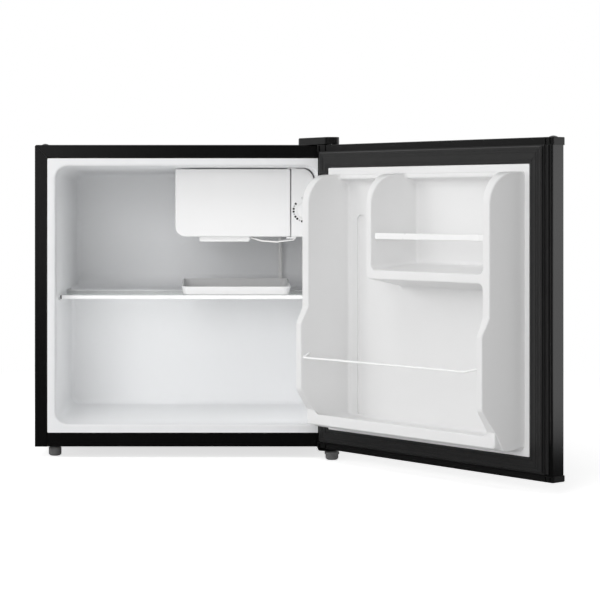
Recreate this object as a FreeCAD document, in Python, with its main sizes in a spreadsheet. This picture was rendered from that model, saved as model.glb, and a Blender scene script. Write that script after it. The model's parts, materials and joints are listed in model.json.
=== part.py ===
"""Compact single-door refrigerator with a freezer box, standing open.

The cabinet is laid out in its own frame: X across from the middle, Y back from the front flange,
Z up from the floor. The door is laid out closed, about its hinge axis, and its Placement opens it.
"""
import FreeCAD, Part
import math
import os

import Sketcher
from FreeCAD import Placement, Rotation, Vector

# Every driving dimension in millimetres (angles in degrees), by the alias of its cell.
DIMS = {
    # where the cabinet's own frame stands, so that the origin is the middle of the whole footprint
    "cabinet_x": -141.9,
    "cabinet_y": -3.2,
    # steel cabinet
    "body_width": 472,
    "body_depth": 400,
    "body_low": 18,
    "body_top": 487,
    "gauge": 1,
    "bend": 2,
    "side_flange": 19.4,
    "top_flange": 20.7,
    "rail_height": 21.6,
    "mitre_slit": 0.5,
    # compressor bay at the lower back
    "bay_front": 280,
    "bay_top": 232,
    # moulded inner liner
    "liner_wall": 1.5,
    "cavity_half": 203.7,
    "cavity_low": 53,
    "cavity_top": 454,
    "cavity_depth": 345,
    "cavity_corner": 19.5,
    "cavity_draft": 1,
    "cavity_fillet": 9,
    "step_fillet": 22,
    "mouth_round": 3.6,
    "step_front": 250,
    "step_top": 251,
    "slot_half": 206.5,
    "slot_low": 243.4,
    "slot_high": 254,
    # glass shelf and its trims
    "shelf_half": 201.6,
    "shelf_front": 71,
    "shelf_back": 245,
    "shelf_top": 249.6,
    "glass": 4,
    "trim_height": 5.7,
    # freezer box, flap, thermostat housing
    "flap_left": -19.3,
    "flap_right": 164.4,
    "flap_low": 343,
    "flap_high": 451,
    "flap_face": 68.5,
    "flap_thick": 3,
    "housing_right": 200.8,
    "box_back": 250,
    "dial_x": 186.5,
    "dial_z": 384.8,
    "knob_radius": 12.5,
    # drip tray on the shelf
    "tray_left": -9.6,
    "tray_right": 164.6,
    "tray_front": 76,
    "tray_back": 240,
    "tray_height": 13.4,
    # door, about its hinge axis
    "hinge_x": 221,
    "hinge_y": -21.5,
    "door_angle": 129.2,
    "hinge_inset": 15,
    "panel_half": 12,
    "door_width": 472,
    "door_low": 18.6,
    "door_top": 486.2,
    "cap_height": 8.6,
    "top_cap_height": 10.8,
    "cap_proud": 1.4,
    "gasket_out": 13,
    "gasket_in": 36.4,
    "gasket_side": 33.5,
    "gasket_under": 32.6,
    "gasket_high": 8.6,
    "tip_round": 2.2,
    "groove_left": 83,
    "groove_right": 102,
    "groove_top": 379,
    "groove_deep": 3,
    "fin_deep": 70,
    "fin_deeper": 83,
    "liner_skin": 1.5,
    "plateau": 8,
    # levelling feet
    "foot_radius": 10,
    "foot_height": 14,
    "foot_left_x": -207.5,
    "foot_left_y": 36,
    "foot_right_x": 225,
    "foot_right_y": -13,
}

DOC = FreeCAD.newDocument("fridge")
NODES = []


def make_sheet():
    """The spreadsheet that drives every size."""
    sheet = DOC.addObject("Spreadsheet::Sheet", "dims")
    for row, (alias, number) in enumerate(DIMS.items(), 1):
        sheet.set(f"A{row}", alias)
        sheet.set(f"B{row}", str(number))
        sheet.setAlias(f"B{row}", alias)
    DOC.recompute()
    return sheet


SHEET = make_sheet()


def bound(expr):
    """An expression with each alias pointed at the sheet."""
    words, word = [], ""
    for letter in str(expr) + " ":
        if letter.isalnum() or letter in "_.":
            word += letter
        else:
            words.append(f"dims.{word}" if word in DIMS else word)
            words.append(letter)
            word = ""
    return "".join(words).strip()


def value(expr):
    """The number that an expression of aliases comes to now."""
    return float(SHEET.evalExpression(bound(expr)))


def bind(obj, **sizes):
    """Bind properties of an object to expressions of aliases."""
    for name, expr in sizes.items():
        obj.setExpression(name.replace("__", "."), bound(expr))
    return obj


# ---------------------------------------------------------------- sketches and features
NORMAL = {"XY": 1, "XZ": -1, "YZ": 1}


def body(name):
    return DOC.addObject("PartDesign::Body", name)


def sketch(owner, plane, at=0):
    """A sketch on one of the body's own origin planes, moved to the level at along the world axis."""
    made = owner.newObject("Sketcher::SketchObject", "Sketch")
    support = next(f for f in owner.Origin.OriginFeatures if f.Role == plane + "_Plane")
    made.AttachmentSupport = [(support, "")]
    made.MapMode = "FlatFace"
    bind(made, AttachmentOffset__Base__z=f"{NORMAL[plane]} * ({at})")
    return made


def outline(made, corners, rounds=None):
    """A closed polygon whose corners, given as pairs of expressions, are fixed from the origin.

    rounds gives the radius of each corner that is rounded, by the corner's number.
    """
    first = made.GeometryCount
    count = len(corners)
    points = [Vector(value(x), value(y), 0) for x, y in corners]
    for i in range(count):
        made.addGeometry(Part.LineSegment(points[i], points[(i + 1) % count]), False)
    for i in range(count):
        made.addConstraint(Sketcher.Constraint("Coincident", first + i, 2, first + (i + 1) % count, 1))
    for i, (x, y) in enumerate(corners):
        for kind, expr, number in (("DistanceX", x, points[i].x), ("DistanceY", y, points[i].y)):
            index = made.addConstraint(Sketcher.Constraint(kind, -1, 1, first + i, 1, number))
            made.setExpression(f"Constraints[{index}]", bound(expr))
    for i, radius in (rounds or {}).items():
        made.fillet(first + i, 1, value(radius), True, True)
        index = made.addConstraint(Sketcher.Constraint("Radius", made.GeometryCount - 2, value(radius)))
        made.setExpression(f"Constraints[{index}]", bound(radius))
    return made


def rectangle(made, left, right, low, high, radius=None):
    """A rectangle between four levels, with all four corners rounded if a radius is given."""
    corners = [(left, low), (right, low), (right, high), (left, high)]
    return outline(made, corners, dict.fromkeys(range(4), radius) if radius else None)


def circle(made, x, y, radius):
    """A circle fixed by its centre and radius."""
    ring = Part.Circle(Vector(value(x), value(y), 0), Vector(0, 0, 1), value(radius))
    index = made.addGeometry(ring, False)
    for kind, expr in (("DistanceX", x), ("DistanceY", y)):
        number = made.addConstraint(Sketcher.Constraint(kind, -1, 1, index, 3, value(expr)))
        made.setExpression(f"Constraints[{number}]", bound(expr))
    number = made.addConstraint(Sketcher.Constraint("Radius", index, value(radius)))
    made.setExpression(f"Constraints[{number}]", bound(radius))
    return made


def extrude(kind, profile, length, backwards=False, taper=None, both=False):
    """A Pad or Pocket of a sketch, along the plane's world axis or, backwards, against it."""
    owner = profile.getParentGeoFeatureGroup()
    made = owner.newObject("PartDesign::" + kind, kind)
    made.Profile = profile
    bind(made, Length=length)
    along_normal = (NORMAL[profile.AttachmentSupport[0][0].Role[:2]] > 0) != backwards
    made.Reversed = along_normal if kind == "Pocket" else not along_normal
    made.Midplane = both
    if taper is not None:
        bind(made, TaperAngle=taper)
    profile.Visibility = False
    DOC.recompute()
    return made


def pad(profile, length, **how):
    return extrude("Pad", profile, length, **how)


def pocket(profile, length, **how):
    """A Pocket that has to take something away."""
    owner = profile.getParentGeoFeatureGroup()
    before = owner.Tip.Shape.Volume
    made = extrude("Pocket", profile, length, **how)
    if made.Shape.isNull() or made.Shape.Volume > before - 1e-3:
        raise RuntimeError(f"a pocket of {owner.Label} cuts nothing")
    return made


def picked(shape, test):
    """The names of a shape's edges that pass a test of their box and their own shape."""
    return [f"Edge{i}" for i, edge in enumerate(shape.Edges, 1) if test(edge.BoundBox, edge)]


def soften(owner, radius, test, kind="Fillet"):
    """Fillet or chamfer the edges of a body that pass a test."""
    base = owner.Tip
    names = picked(base.Shape, test)
    if not names:
        raise RuntimeError(f"no edge of {owner.Label} passes the test")
    made = owner.newObject("PartDesign::" + kind, kind)
    made.Base = (base, names)
    bind(made, **{"Radius" if kind == "Fillet" else "Size": radius})
    DOC.recompute()
    if made.Shape.isNull() or not made.Shape.isValid():
        raise RuntimeError(f"{kind} of {owner.Label} failed")
    return made


def near(a, b, gap=0.05):
    return abs(a - b) < gap


# ---------------------------------------------------------------- primitives and booleans
def block(name, low, high):
    """A Part::Box between two corners given as expressions."""
    made = DOC.addObject("Part::Box", name)
    bind(made, Length=f"({high[0]}) - ({low[0]})", Width=f"({high[1]}) - ({low[1]})",
         Height=f"({high[2]}) - ({low[2]})")
    return bind(made, Placement__Base__x=low[0], Placement__Base__y=low[1], Placement__Base__z=low[2])


TURNS = {"X": Rotation(Vector(0, 1, 0), 90), "Y": Rotation(Vector(1, 0, 0), -90), "Z": Rotation()}


def rod(name, axis, start, radius, length):
    """A Part::Cylinder from a point along one of the axes."""
    made = DOC.addObject("Part::Cylinder", name)
    made.Placement = Placement(Vector(), TURNS[axis])
    bind(made, Radius=radius, Height=length)
    return bind(made, Placement__Base__x=start[0], Placement__Base__y=start[1], Placement__Base__z=start[2])


def cut(base, *tools):
    made = base
    for tool in tools:
        step = DOC.addObject("Part::Cut", base.Name + "_cut")
        step.Base = made
        step.Tool = tool
        made = step
    DOC.recompute()
    return made


def fuse(*shapes):
    made = DOC.addObject("Part::MultiFuse", shapes[0].Name + "_fuse")
    made.Shapes = list(shapes)
    made.Refine = True
    DOC.recompute()
    return made


def common(*shapes):
    made = DOC.addObject("Part::MultiCommon", shapes[0].Name + "_common")
    made.Shapes = list(shapes)
    DOC.recompute()
    return made


def group(*shapes):
    """Separate solids kept in one node."""
    made = DOC.addObject("Part::Compound", shapes[0].Name + "_group")
    made.Links = list(shapes)
    DOC.recompute()
    return made


def rounded(base, radius, test, kind="Fillet"):
    """A Part::Fillet or Part::Chamfer of the edges that pass a test."""
    made = DOC.addObject("Part::" + kind, base.Name + "_soft")
    made.Base = base
    size = value(radius)
    made.Edges = [(int(name[4:]), size, size) for name in picked(base.Shape, test)]
    DOC.recompute()
    return made


def tube(name, points, radius):
    """Straight runs joined by tangent arcs, swept by a round section: rigid pipework."""
    path = route(points, value(radius) * 3)
    section = Part.Wire(Part.Circle(points[0], points[1] - points[0], value(radius)).toShape())
    made = DOC.addObject("Part::Feature", name)
    made.Shape = path.makePipeShell([section], True, True)
    return made


def route(points, bend):
    """A wire through the points with each corner rounded to the bend radius, or as much as fits."""
    edges, start = [], points[0]
    for before, corner, after in zip(points, points[1:], points[2:]):
        back, ahead = (before - corner).normalize(), (after - corner).normalize()
        half = back.getAngle(ahead) / 2
        room = 0.45 * min((before - corner).Length, (after - corner).Length)
        reach = min(bend / math.tan(half), room)
        radius = reach * math.tan(half)
        centre = corner + (back + ahead).normalize() * (radius / math.sin(half))
        middle = centre + (corner - centre).normalize() * radius
        first, last = corner + back * reach, corner + ahead * reach
        edges.append(Part.LineSegment(start, first).toShape())
        edges.append(Part.Arc(first, middle, last).toShape())
        start = last
    edges.append(Part.LineSegment(start, points[-1]).toShape())
    return Part.Wire(edges)


# ---------------------------------------------------------------- frames and nodes
def node(label, made, frame="cabinet"):
    """Name a finished sub-part and give it the Placement of the frame that it was laid out in."""
    made.Label = label
    if frame == "door":
        bind(made, Placement__Base__x="cabinet_x + hinge_x", Placement__Base__y="cabinet_y + hinge_y",
             Placement__Rotation__Angle="door_angle")
    else:
        bind(made, Placement__Base__x="cabinet_x", Placement__Base__y="cabinet_y")
    NODES.append(made)
    return made


# ---------------------------------------------------------------- steel cabinet
FOOT_LEFT = ("foot_left_x", "foot_left_y")
FOOT_RIGHT = ("foot_right_x", "foot_right_y")
HALF = "body_width / 2"
INSIDE = "body_width / 2 - gauge"


def outer_wrapper():
    """One folded sheet: sides and top, with front flanges that meet in mitres at the top corners."""
    owner = body("OuterWrapper")
    walls = sketch(owner, "XZ")
    outline(walls, [(f"-({HALF})", "body_low"), (f"-({HALF})", "body_top"), (HALF, "body_top"),
                    (HALF, "body_low"), (INSIDE, "body_low"), (INSIDE, "body_top - gauge"),
                    (f"-({INSIDE})", "body_top - gauge"), (f"-({INSIDE})", "body_low")],
            {1: "bend * 1.5", 2: "bend * 1.5"})
    pad(walls, "body_depth")
    inner = "body_width / 2 - side_flange"
    flange = sketch(owner, "XZ")
    outline(flange, [(f"-({HALF})", "body_low"), (f"-({HALF})", "body_top"), (HALF, "body_top"),
                     (HALF, "body_low"), (inner, "body_low"), (inner, "body_top - top_flange"),
                     (f"-({inner})", "body_top - top_flange"), (f"-({inner})", "body_low")],
            {1: "bend * 1.5", 2: "bend * 1.5"})
    pad(flange, "gauge")
    turned_in = sketch(owner, "XZ")
    rim = f"({inner} + gauge)"
    foot, under = "body_low + 3", "body_top - top_flange"
    outline(turned_in, [(f"-{rim}", foot), (f"-{rim}", f"{under} + gauge"), (rim, f"{under} + gauge"),
                        (rim, foot), (inner, foot), (inner, under), (f"-({inner})", under),
                        (f"-({inner})", foot)])
    pad(turned_in, "gauge + 2.3")
    soften(owner, "bend * 0.8", lambda box, edge: near(box.YMax, 0) and (
        near(abs(box.XMin), value(HALF)) and near(box.XLength, 0) or near(box.ZMin, value("body_top"))
        or box.XLength > 1 and near(box.XLength, box.ZLength)))
    soften(owner, "bend", lambda box, edge: near(box.YMax, 0) and near(box.YMin, 0) and (
        near(box.XLength, 0) and near(abs(box.XMin), value(inner))
        or near(box.ZLength, 0) and near(box.ZMin, value("body_top - top_flange"))))
    for side in ("-1", "1"):
        slit = sketch(owner, "XZ")
        corner = (f"{side} * ({HALF} - bend)", "body_top - bend")
        heel = (f"{side} * ({inner})", "body_top - top_flange")
        outline(slit, [corner, (f"{corner[0]} - {side} * mitre_slit", corner[1]),
                       (f"{heel[0]} - {side} * mitre_slit", heel[1]), heel])
        pocket(slit, "gauge * 0.6")
    return node("outer_wrapper", owner)


def bottom_pan():
    """The pressed underside: a channel behind the front rail and a floor back to the compressor bay."""
    owner = body("BottomPan")
    rail = sketch(owner, "YZ")
    outline(rail, [("0", "body_low"), ("14", "body_low"), ("14", "body_low + gauge"),
                   ("gauge", "body_low + gauge"), ("gauge", "body_low + rail_height - gauge"),
                   ("9", "body_low + rail_height - gauge"), ("9", "body_low + rail_height"),
                   ("0", "body_low + rail_height")], {0: "bend * 0.7", 7: "bend * 0.7"})
    pad(rail, "2 * (body_width / 2 - side_flange) - 0.4", both=True)
    floor = sketch(owner, "XY", "body_low")
    edge = "body_width / 2 - gauge - 0.2"
    rectangle(floor, f"-({edge})", edge, "gauge + 1", "bay_front")
    pad(floor, "gauge")
    bead = sketch(owner, "XY", "body_low - 2")
    rectangle(bead, "-150", "150", "70", "82", "5.9")
    rectangle(bead, "-150", "150", "150", "162", "5.9")
    pad(bead, "2.5")
    stud = sketch(owner, "XY", "body_low - 1")
    circle(stud, *FOOT_LEFT, "3.6")
    pocket(stud, "3")
    return node("bottom_pan", owner)


def bay_profile(owner, thick):
    """Sketch of the bent sheet over the compressor bay, seen from the side."""
    return outline(sketch(owner, "YZ"), [
        ("bay_front", "body_low + gauge"), ("bay_front", "bay_top"), ("body_depth - gauge", "bay_top"),
        ("body_depth - gauge", f"bay_top + {thick}"), (f"bay_front - {thick}", f"bay_top + {thick}"),
        (f"bay_front - {thick}", "body_low + gauge")], {4: "14", 1: "13"})


def compressor_bulkhead():
    """The sheet that parts the insulated body from the compressor bay."""
    owner = body("Bulkhead")
    pad(bay_profile(owner, "gauge"), "body_width - 2 * gauge - 0.4", both=True)
    return node("compressor_bulkhead", owner)


def rear_panel():
    """The flat back above the bay, with a shallow pressed field and a folded lower lip."""
    owner = body("RearPanel")
    sheet = sketch(owner, "XZ", "body_depth - gauge")
    edge = "body_width / 2 - gauge - 0.2"
    rectangle(sheet, f"-({edge})", edge, "bay_top + gauge", "body_top - gauge - 0.2")
    pad(sheet, "gauge")
    field = sketch(owner, "XZ", "body_depth")
    rectangle(field, "-180", "180", "290", "440", "14")
    pad(field, "1.6")
    soften(owner, "1.2", lambda box, edge: box.YMin > value("body_depth") + 1.5)
    return node("rear_panel", owner)


def cabinet_insulation():
    """Foam between the skins: the block, less the liner's own form, the bay and the rail."""
    edge = "body_width / 2 - gauge - 0.2"
    foam = block("Foam", (f"-({edge})", "gauge + 2.6", "body_low + gauge + 0.2"),
                 (edge, "body_depth - gauge - 0.2", "body_top - gauge - 0.2"))
    bay = block("FoamBay", ("-300", "bay_front - gauge - 0.2", "0"), ("300", "500", "bay_top + gauge + 0.2"))
    rail = block("FoamRail", ("-300", "0", "0"), ("300", "14.5", "body_low + rail_height + 0.3"))
    stud = rod("FoamStud", "Z", (*FOOT_LEFT, "0"), "4", "33")
    room = cavity_form("FoamCavity", "liner_wall + 0.3")
    return node("cabinet_insulation", cut(foam, room, bay, rail, stud))


# ---------------------------------------------------------------- moulded inner liner
def cavity_form(name, grow):
    """The space that the liner bounds, grown by a wall: drafted from the mouth, with the compressor
    step cut from its lower back and the grooves that the shelf runs in added at the sides."""
    owner = body(name)
    mouth = sketch(owner, "XZ", "-2")
    rectangle(mouth, f"-(cavity_half + {grow})", f"cavity_half + {grow}", f"cavity_low - ({grow})",
              f"cavity_top + {grow}", f"cavity_corner + {grow}")
    pad(mouth, f"cavity_depth + 2 + {grow}", taper="-cavity_draft")
    step = sketch(owner, "YZ")
    outline(step, [(f"step_front + {grow}", "0"), ("body_depth", "0"), ("body_depth", f"step_top - ({grow})"),
                   (f"step_front + {grow}", f"step_top - ({grow})")])
    pocket(step, "600", both=True)
    back, front = value(f"cavity_depth + {grow}"), value(f"step_front + {grow}")
    top = value(f"step_top - ({grow})")
    soften(owner, f"step_fillet + {grow}", lambda box, edge: near(box.YMin, back) and near(box.ZMax, top))
    soften(owner, f"cavity_fillet + {grow}", lambda box, edge: near(box.YMin, back) and near(box.YMax, back)
           or near(box.YMin, front) and near(box.ZMax, box.ZMin) and box.XLength > 50)
    groove = sketch(owner, "XZ", f"44 - ({grow})")
    rectangle(groove, f"-(slot_half + {grow})", f"slot_half + {grow}", f"slot_low - ({grow})",
              f"slot_high + {grow}", "2")
    pad(groove, f"step_front - 46 + 2 * ({grow})")
    return owner


def inner_liner():
    """White thermoformed liner: the cavity's skin and the flange that shows round its mouth."""
    owner = body("LinerFlange")
    plate = sketch(owner, "XZ", "0.2")
    edge = "body_width / 2 - side_flange - 0.2"
    rectangle(plate, f"-({edge})", edge, "body_low + rail_height + 0.2", "body_top - top_flange - 0.2", "2")
    pad(plate, "liner_wall + 0.8")
    skin = fuse(owner, cavity_form("CavityOuter", "liner_wall"))
    trimmed = cut(skin, block("Ahead", ("-300", "-50", "0"), ("300", "0.2", "600")))
    shell = cut(trimmed, cavity_form("CavityInner", "0"))
    lip = rounded(shell, "mouth_round", lambda box, edge: near(box.YMin, 0.2, 0.02)
                  and near(box.YMax, 0.2, 0.02)
                  and max(abs(box.XMin), abs(box.XMax)) < value("cavity_half") + 0.1
                  and box.ZMin > value("cavity_low") - 0.1 and box.ZMax < value("cavity_top") + 0.1)
    return node("inner_liner", lip)


# ---------------------------------------------------------------- freezer box and controls
BOX_LEFT, BOX_RIGHT, BOX_LOW, BOX_HIGH = "flap_left + 3", "flap_right - 4", "flap_low + 4", "flap_high - 4"


def evaporator_box():
    """Rolled aluminium freezer box, open at the front, on four hangers, with its raised channels."""
    owner = body("Evaporator")
    ring = sketch(owner, "XZ", "78")
    rectangle(ring, BOX_LEFT, BOX_RIGHT, BOX_LOW, BOX_HIGH, "9")
    rectangle(ring, f"{BOX_LEFT} + 1.6", f"{BOX_RIGHT} - 1.6", f"{BOX_LOW} + 1.6", f"{BOX_HIGH} - 1.6", "7.4")
    pad(ring, "box_back - 78")
    back = sketch(owner, "XZ", "box_back - 1.6")
    rectangle(back, f"{BOX_LEFT} + 12", f"{BOX_RIGHT} - 12", BOX_LOW, "flap_low + 60", "1")
    pad(back, "1.6")
    for y in range(100, 241, 20):
        ridge = sketch(owner, "XY", "flap_low + 2.6")
        rectangle(ridge, f"{BOX_LEFT} + 16", f"{BOX_RIGHT} - 16", f"{y} - 3", f"{y} + 3", "2.9")
        pad(ridge, "2")
    for y in ("100", "190"):
        hangers = sketch(owner, "XY", f"{BOX_HIGH} - 0.5")
        for x in ("flap_left + 25", "flap_right - 25"):
            circle(hangers, x, y, "4")
        pad(hangers, f"cavity_top - ({y} + 4) * tan(cavity_draft) - 0.05 - ({BOX_HIGH} - 0.5)")
    return node("evaporator_box", owner)


PIVOT = ("flap_right - 3.4", "flap_face + 3.5")


def freezer_flap():
    """Plain moulded door of the freezer box: a dished plate, its finger lip and its two pivots."""
    owner = body("Flap")
    face = sketch(owner, "XZ", "flap_face")
    outline(face, [("flap_left", "flap_low"), ("flap_right - 0.6", "flap_low"),
                   ("flap_right - 0.6", "flap_high"), ("flap_left", "flap_high")],
            {0: "16", 1: "3", 2: "3", 3: "2.5"})
    pad(face, "8")
    hollow = sketch(owner, "XZ", "flap_face + flap_thick")
    outline(hollow, [("flap_left + 2", "flap_low + 2"), ("flap_right - 8", "flap_low + 2"),
                     ("flap_right - 8", "flap_high - 2"), ("flap_left + 2", "flap_high - 2")],
            {0: "14", 1: "3", 2: "3", 3: "2"})
    pocket(hollow, "20")
    soften(owner, "2", lambda box, line: near(box.YMax, value("flap_face")) and box.ZLength > 90)
    lip = sketch(owner, "XZ", "flap_face + 5.4")
    outline(lip, [("19.1", "flap_low - 7.7"), ("98.7", "flap_low - 7.7"), ("98.7", "flap_low + 1.5"),
                  ("19.1", "flap_low + 1.5")], {0: "2.5", 1: "2.5"})
    pad(lip, "2.6")
    pivots = sketch(owner, "XY", "flap_low - 2.2")
    circle(pivots, *PIVOT, "1.8")
    pad(pivots, "flap_high - flap_low + 3.3")
    return node("freezer_flap", owner)


def thermostat_housing():
    """White cover beside the freezer box, hollow behind its face, with the ears that hold the flap."""
    owner = body("Housing")
    shape = [("flap_right + 0.8", "flap_low"), ("housing_right", "flap_low"),
             ("housing_right", "flap_high + 0.6"), ("flap_right + 0.8", "flap_high + 0.6")]
    pad(outline(sketch(owner, "XZ", "flap_face"), shape, {1: "3", 2: "19"}), "50")
    soften(owner, "1.2", lambda box, line: near(box.YMax, value("flap_face"))
           and box.XMax > value("flap_right") + 2)
    room = sketch(owner, "XZ", "flap_face + 2.2")
    outline(room, [("flap_right + 3", "flap_low + 2.2"), ("housing_right - 2.2", "flap_low + 2.2"),
                   ("housing_right - 2.2", "flap_high - 1.6"), ("flap_right + 3", "flap_high - 1.6")],
            {1: "2", 2: "16.8"})
    pocket(room, "100")
    for low, thick in (("flap_low - 2.9", "2.5"), ("flap_high + 0.3", "0.9")):
        ear = sketch(owner, "XY", low)
        outline(ear, [("flap_right - 7", "flap_face + 0.4"), ("flap_right + 8", "flap_face + 0.4"),
                      ("flap_right + 8", "flap_face + 12"), ("flap_right - 7", "flap_face + 12")],
                {0: "3", 3: "3"})
        pad(ear, thick)
    web = sketch(owner, "XY", "flap_low - 0.5")
    rectangle(web, "flap_right + 1", "flap_right + 7.5", "flap_face + 2", "flap_face + 11.5")
    pad(web, "1")
    holes = sketch(owner, "XY", "flap_low - 4")
    circle(holes, *PIVOT, "2.1")
    pocket(holes, "flap_high - flap_low + 8")
    shaft = sketch(owner, "XZ", "flap_face - 1")
    circle(shaft, "dial_x", "dial_z", "4.4")
    pocket(shaft, "5")
    return node("thermostat_housing", owner)


def thermostat_switch():
    """The thermostat behind the cover's face: its bellows case, and the bush that the shaft turns in."""
    case = block("SwitchCase", ("dial_x - 12", "flap_face + 6", "dial_z - 18"),
                 ("dial_x + 11.5", "flap_face + 34", "dial_z + 16"))
    bush = rod("SwitchBush", "Y", ("dial_x", "flap_face + 2.4", "dial_z"), "6.5", "5")
    bore = rod("SwitchBore", "Y", ("dial_x", "flap_face", "dial_z"), "3.3", "20")
    terminals = block("SwitchTabs", ("dial_x - 6", "flap_face + 33", "dial_z - 10"),
                      ("dial_x - 5", "flap_face + 42", "dial_z + 8"))
    return node("thermostat_switch", cut(fuse(case, bush, terminals), bore))


def thermostat_knob():
    """White dial with a fluted rim, a raised grip across it and the shaft it is pressed on."""
    owner = body("Knob")
    disc = sketch(owner, "XZ", "flap_face - 6")
    circle(disc, "dial_x", "dial_z", "knob_radius")
    pad(disc, "5.6")
    soften(owner, "1.2", lambda box, line: near(box.YMax, value("flap_face") - 6))
    flute = sketch(owner, "XZ", "flap_face - 7")
    circle(flute, "dial_x + knob_radius + 0.7", "dial_z", "1.3")
    notch = pocket(flute, "9")
    ring = owner.newObject("PartDesign::PolarPattern", "Flutes")
    ring.Originals = [notch]
    spin = sketch(owner, "XZ", "flap_face - 7")
    middle = Vector(value("dial_x"), value("dial_z"), 0)
    axis = spin.addGeometry(Part.Circle(middle, Vector(0, 0, 1), 1), False)
    spin.toggleConstruction(axis)
    ring.Axis = (spin, ["N_Axis"])
    spin.setExpression("AttachmentOffset.Base.x", bound("dial_x"))
    spin.setExpression("AttachmentOffset.Base.y", bound("dial_z"))
    ring.Angle = 360
    ring.Occurrences = 18
    owner.Tip = ring
    DOC.recompute()
    grip = sketch(owner, "XZ", "flap_face - 6.4")
    outline(grip, [("dial_x - 1.8", "dial_z - 9"), ("dial_x + 1.8", "dial_z - 9"),
                   ("dial_x + 1.4", "dial_z + 10"), ("dial_x - 1.4", "dial_z + 10")],
            {0: "1.5", 1: "1.5", 2: "1.2", 3: "1.2"})
    pad(grip, "1")
    shaft = sketch(owner, "XZ", "flap_face - 1")
    circle(shaft, "dial_x", "dial_z", "3")
    pad(shaft, "17")
    return node("thermostat_knob", owner)


def sensing_tube():
    """Sleeved capillary of the thermostat, looping under the freezer box to its floor."""
    stops = [(171, 90, 342.6), (171, 89, 338.4), (142, 84, 334.6), (118, 84, 336.5), (102, 90, 341.4),
             (84, 104, 342.4)]
    return node("sensing_tube", tube("SensingTube", [Vector(*stop) for stop in stops], "1.5"))


def suction_tube_sleeve():
    """Sleeved refrigerant line from the freezer box down the back wall into the step."""
    made = tube("SuctionSleeve", [Vector(150, 251, 356), Vector(154, 290, 350), Vector(156, 328, 338),
                                  Vector(156, 331, 300), Vector(156, 329.5, 264.5)], "3.6")
    return node("suction_tube_sleeve", made)


# ---------------------------------------------------------------- shelf and tray
GLASS_LOW = "shelf_top - glass - 0.85"


def shelf_glass():
    pane = block("Glass", ("-shelf_half + 0.5", "shelf_front + 1.5", GLASS_LOW),
                 ("shelf_half - 0.5", "shelf_back - 1.5", f"{GLASS_LOW} + glass"))
    DOC.recompute()
    return node("shelf_glass", rounded(pane, "0.5", lambda box, line: box.ZLength < 0.01, "Chamfer"))


def shelf_trim(label, front, back, nose):
    """A moulded channel pressed on one edge of the glass; the nose is its rounded outer side."""
    owner = body(label.title().replace("_", ""))
    section = sketch(owner, "YZ")
    outside = front if nose < 0 else back
    inside = back if nose < 0 else front
    wall = f"{outside} - ({nose}) * 1.4"
    outline(section, [(inside, "shelf_top - trim_height"), (outside, "shelf_top - trim_height"),
                      (outside, "shelf_top"), (inside, "shelf_top"), (inside, "shelf_top - 0.8"),
                      (wall, "shelf_top - 0.8"), (wall, f"{GLASS_LOW} - 0.05"),
                      (inside, f"{GLASS_LOW} - 0.05")],
            {1: "0.7", 2: "0.7"})
    pad(section, "2 * shelf_half", both=True)
    return node(label, owner)


def shelf_front_trim():
    return shelf_trim("shelf_front_trim", "shelf_front", "shelf_front + 9", -1)


def shelf_rear_trim():
    return shelf_trim("shelf_rear_trim", "shelf_back - 7", "shelf_back", 1)


def tray_form(name, low, grow):
    """A drafted dish between its floor and a level above its rim, grown by a wall."""
    owner = body(name)
    floor = sketch(owner, "XY", low)
    rectangle(floor, f"tray_left + 2.9 - ({grow})", f"tray_right - 2.9 + {grow}",
              f"tray_front + 3 - ({grow})", f"tray_back - 8 + {grow}", f"9 + {grow}")
    pad(floor, "26", taper="12")
    soften(owner, f"3 + {grow}", lambda box, line: near(box.ZMax, value(low)))
    return owner


def drip_tray():
    """White dish under the freezer box, with a rim that rises towards the back and a rolled lip."""
    low = "shelf_top + 0.2"
    outer = tray_form("TrayOuter", low, "0")
    inner = tray_form("TrayInner", f"{low} + 1.8", "-1.9")
    owner = body("TrayTop")
    side = sketch(owner, "YZ")
    outline(side, [("0", f"{low} + tray_height - 3.2"), ("400", f"{low} + tray_height + 14"),
                   ("400", "400"), ("0", "400")])
    pad(side, "600", both=True)
    return node("drip_tray", cut(outer, inner, owner))


# ---------------------------------------------------------------- hinges and feet
def top_hinge_bracket():
    """Steel plate screwed on the roof, its nose reaching out over the door to carry the pin."""
    owner = body("TopBracket")
    plate = sketch(owner, "XY", "body_top + 0.1")
    nose = "hinge_y - 11.5"
    outline(plate, [("hinge_x - 41", "26"), ("hinge_x - 5", nose), ("hinge_x + 11", nose),
                    ("hinge_x + 11", "38"), ("hinge_x - 41", "38")],
            {0: "3", 1: "8", 2: "7.5", 3: "4", 4: "4"})
    pad(plate, "2.5")
    holes = sketch(owner, "XY", "body_top")
    circle(holes, "hinge_x - 26", "28", "2.6")
    circle(holes, "hinge_x", "26", "2.6")
    circle(holes, "hinge_x", "hinge_y", "3.9")
    pocket(holes, "5")
    return node("top_hinge_bracket", owner)


def cover_outline(plan, wall):
    """The hinge cover's outline from above, set in by a wall: a diagonal front that ends in a round
    nose."""
    back, low = f"42 - {wall}", f"hinge_y - 15.5 + {wall}"
    left, right = "hinge_x - 45.5", f"hinge_x + 14.3 - {wall}"
    return outline(plan, [(f"{left} + {wall}", f"22 + 0.3 * {wall}"), (f"hinge_x - 6 + 0.5 * {wall}", low),
                          (right, low), (right, back), (f"{left} + {wall}", back)],
                   {0: "1.5", 1: f"8.6 - {wall}", 2: f"8.4 - {wall}", 3: "3", 4: "2"})


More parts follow.
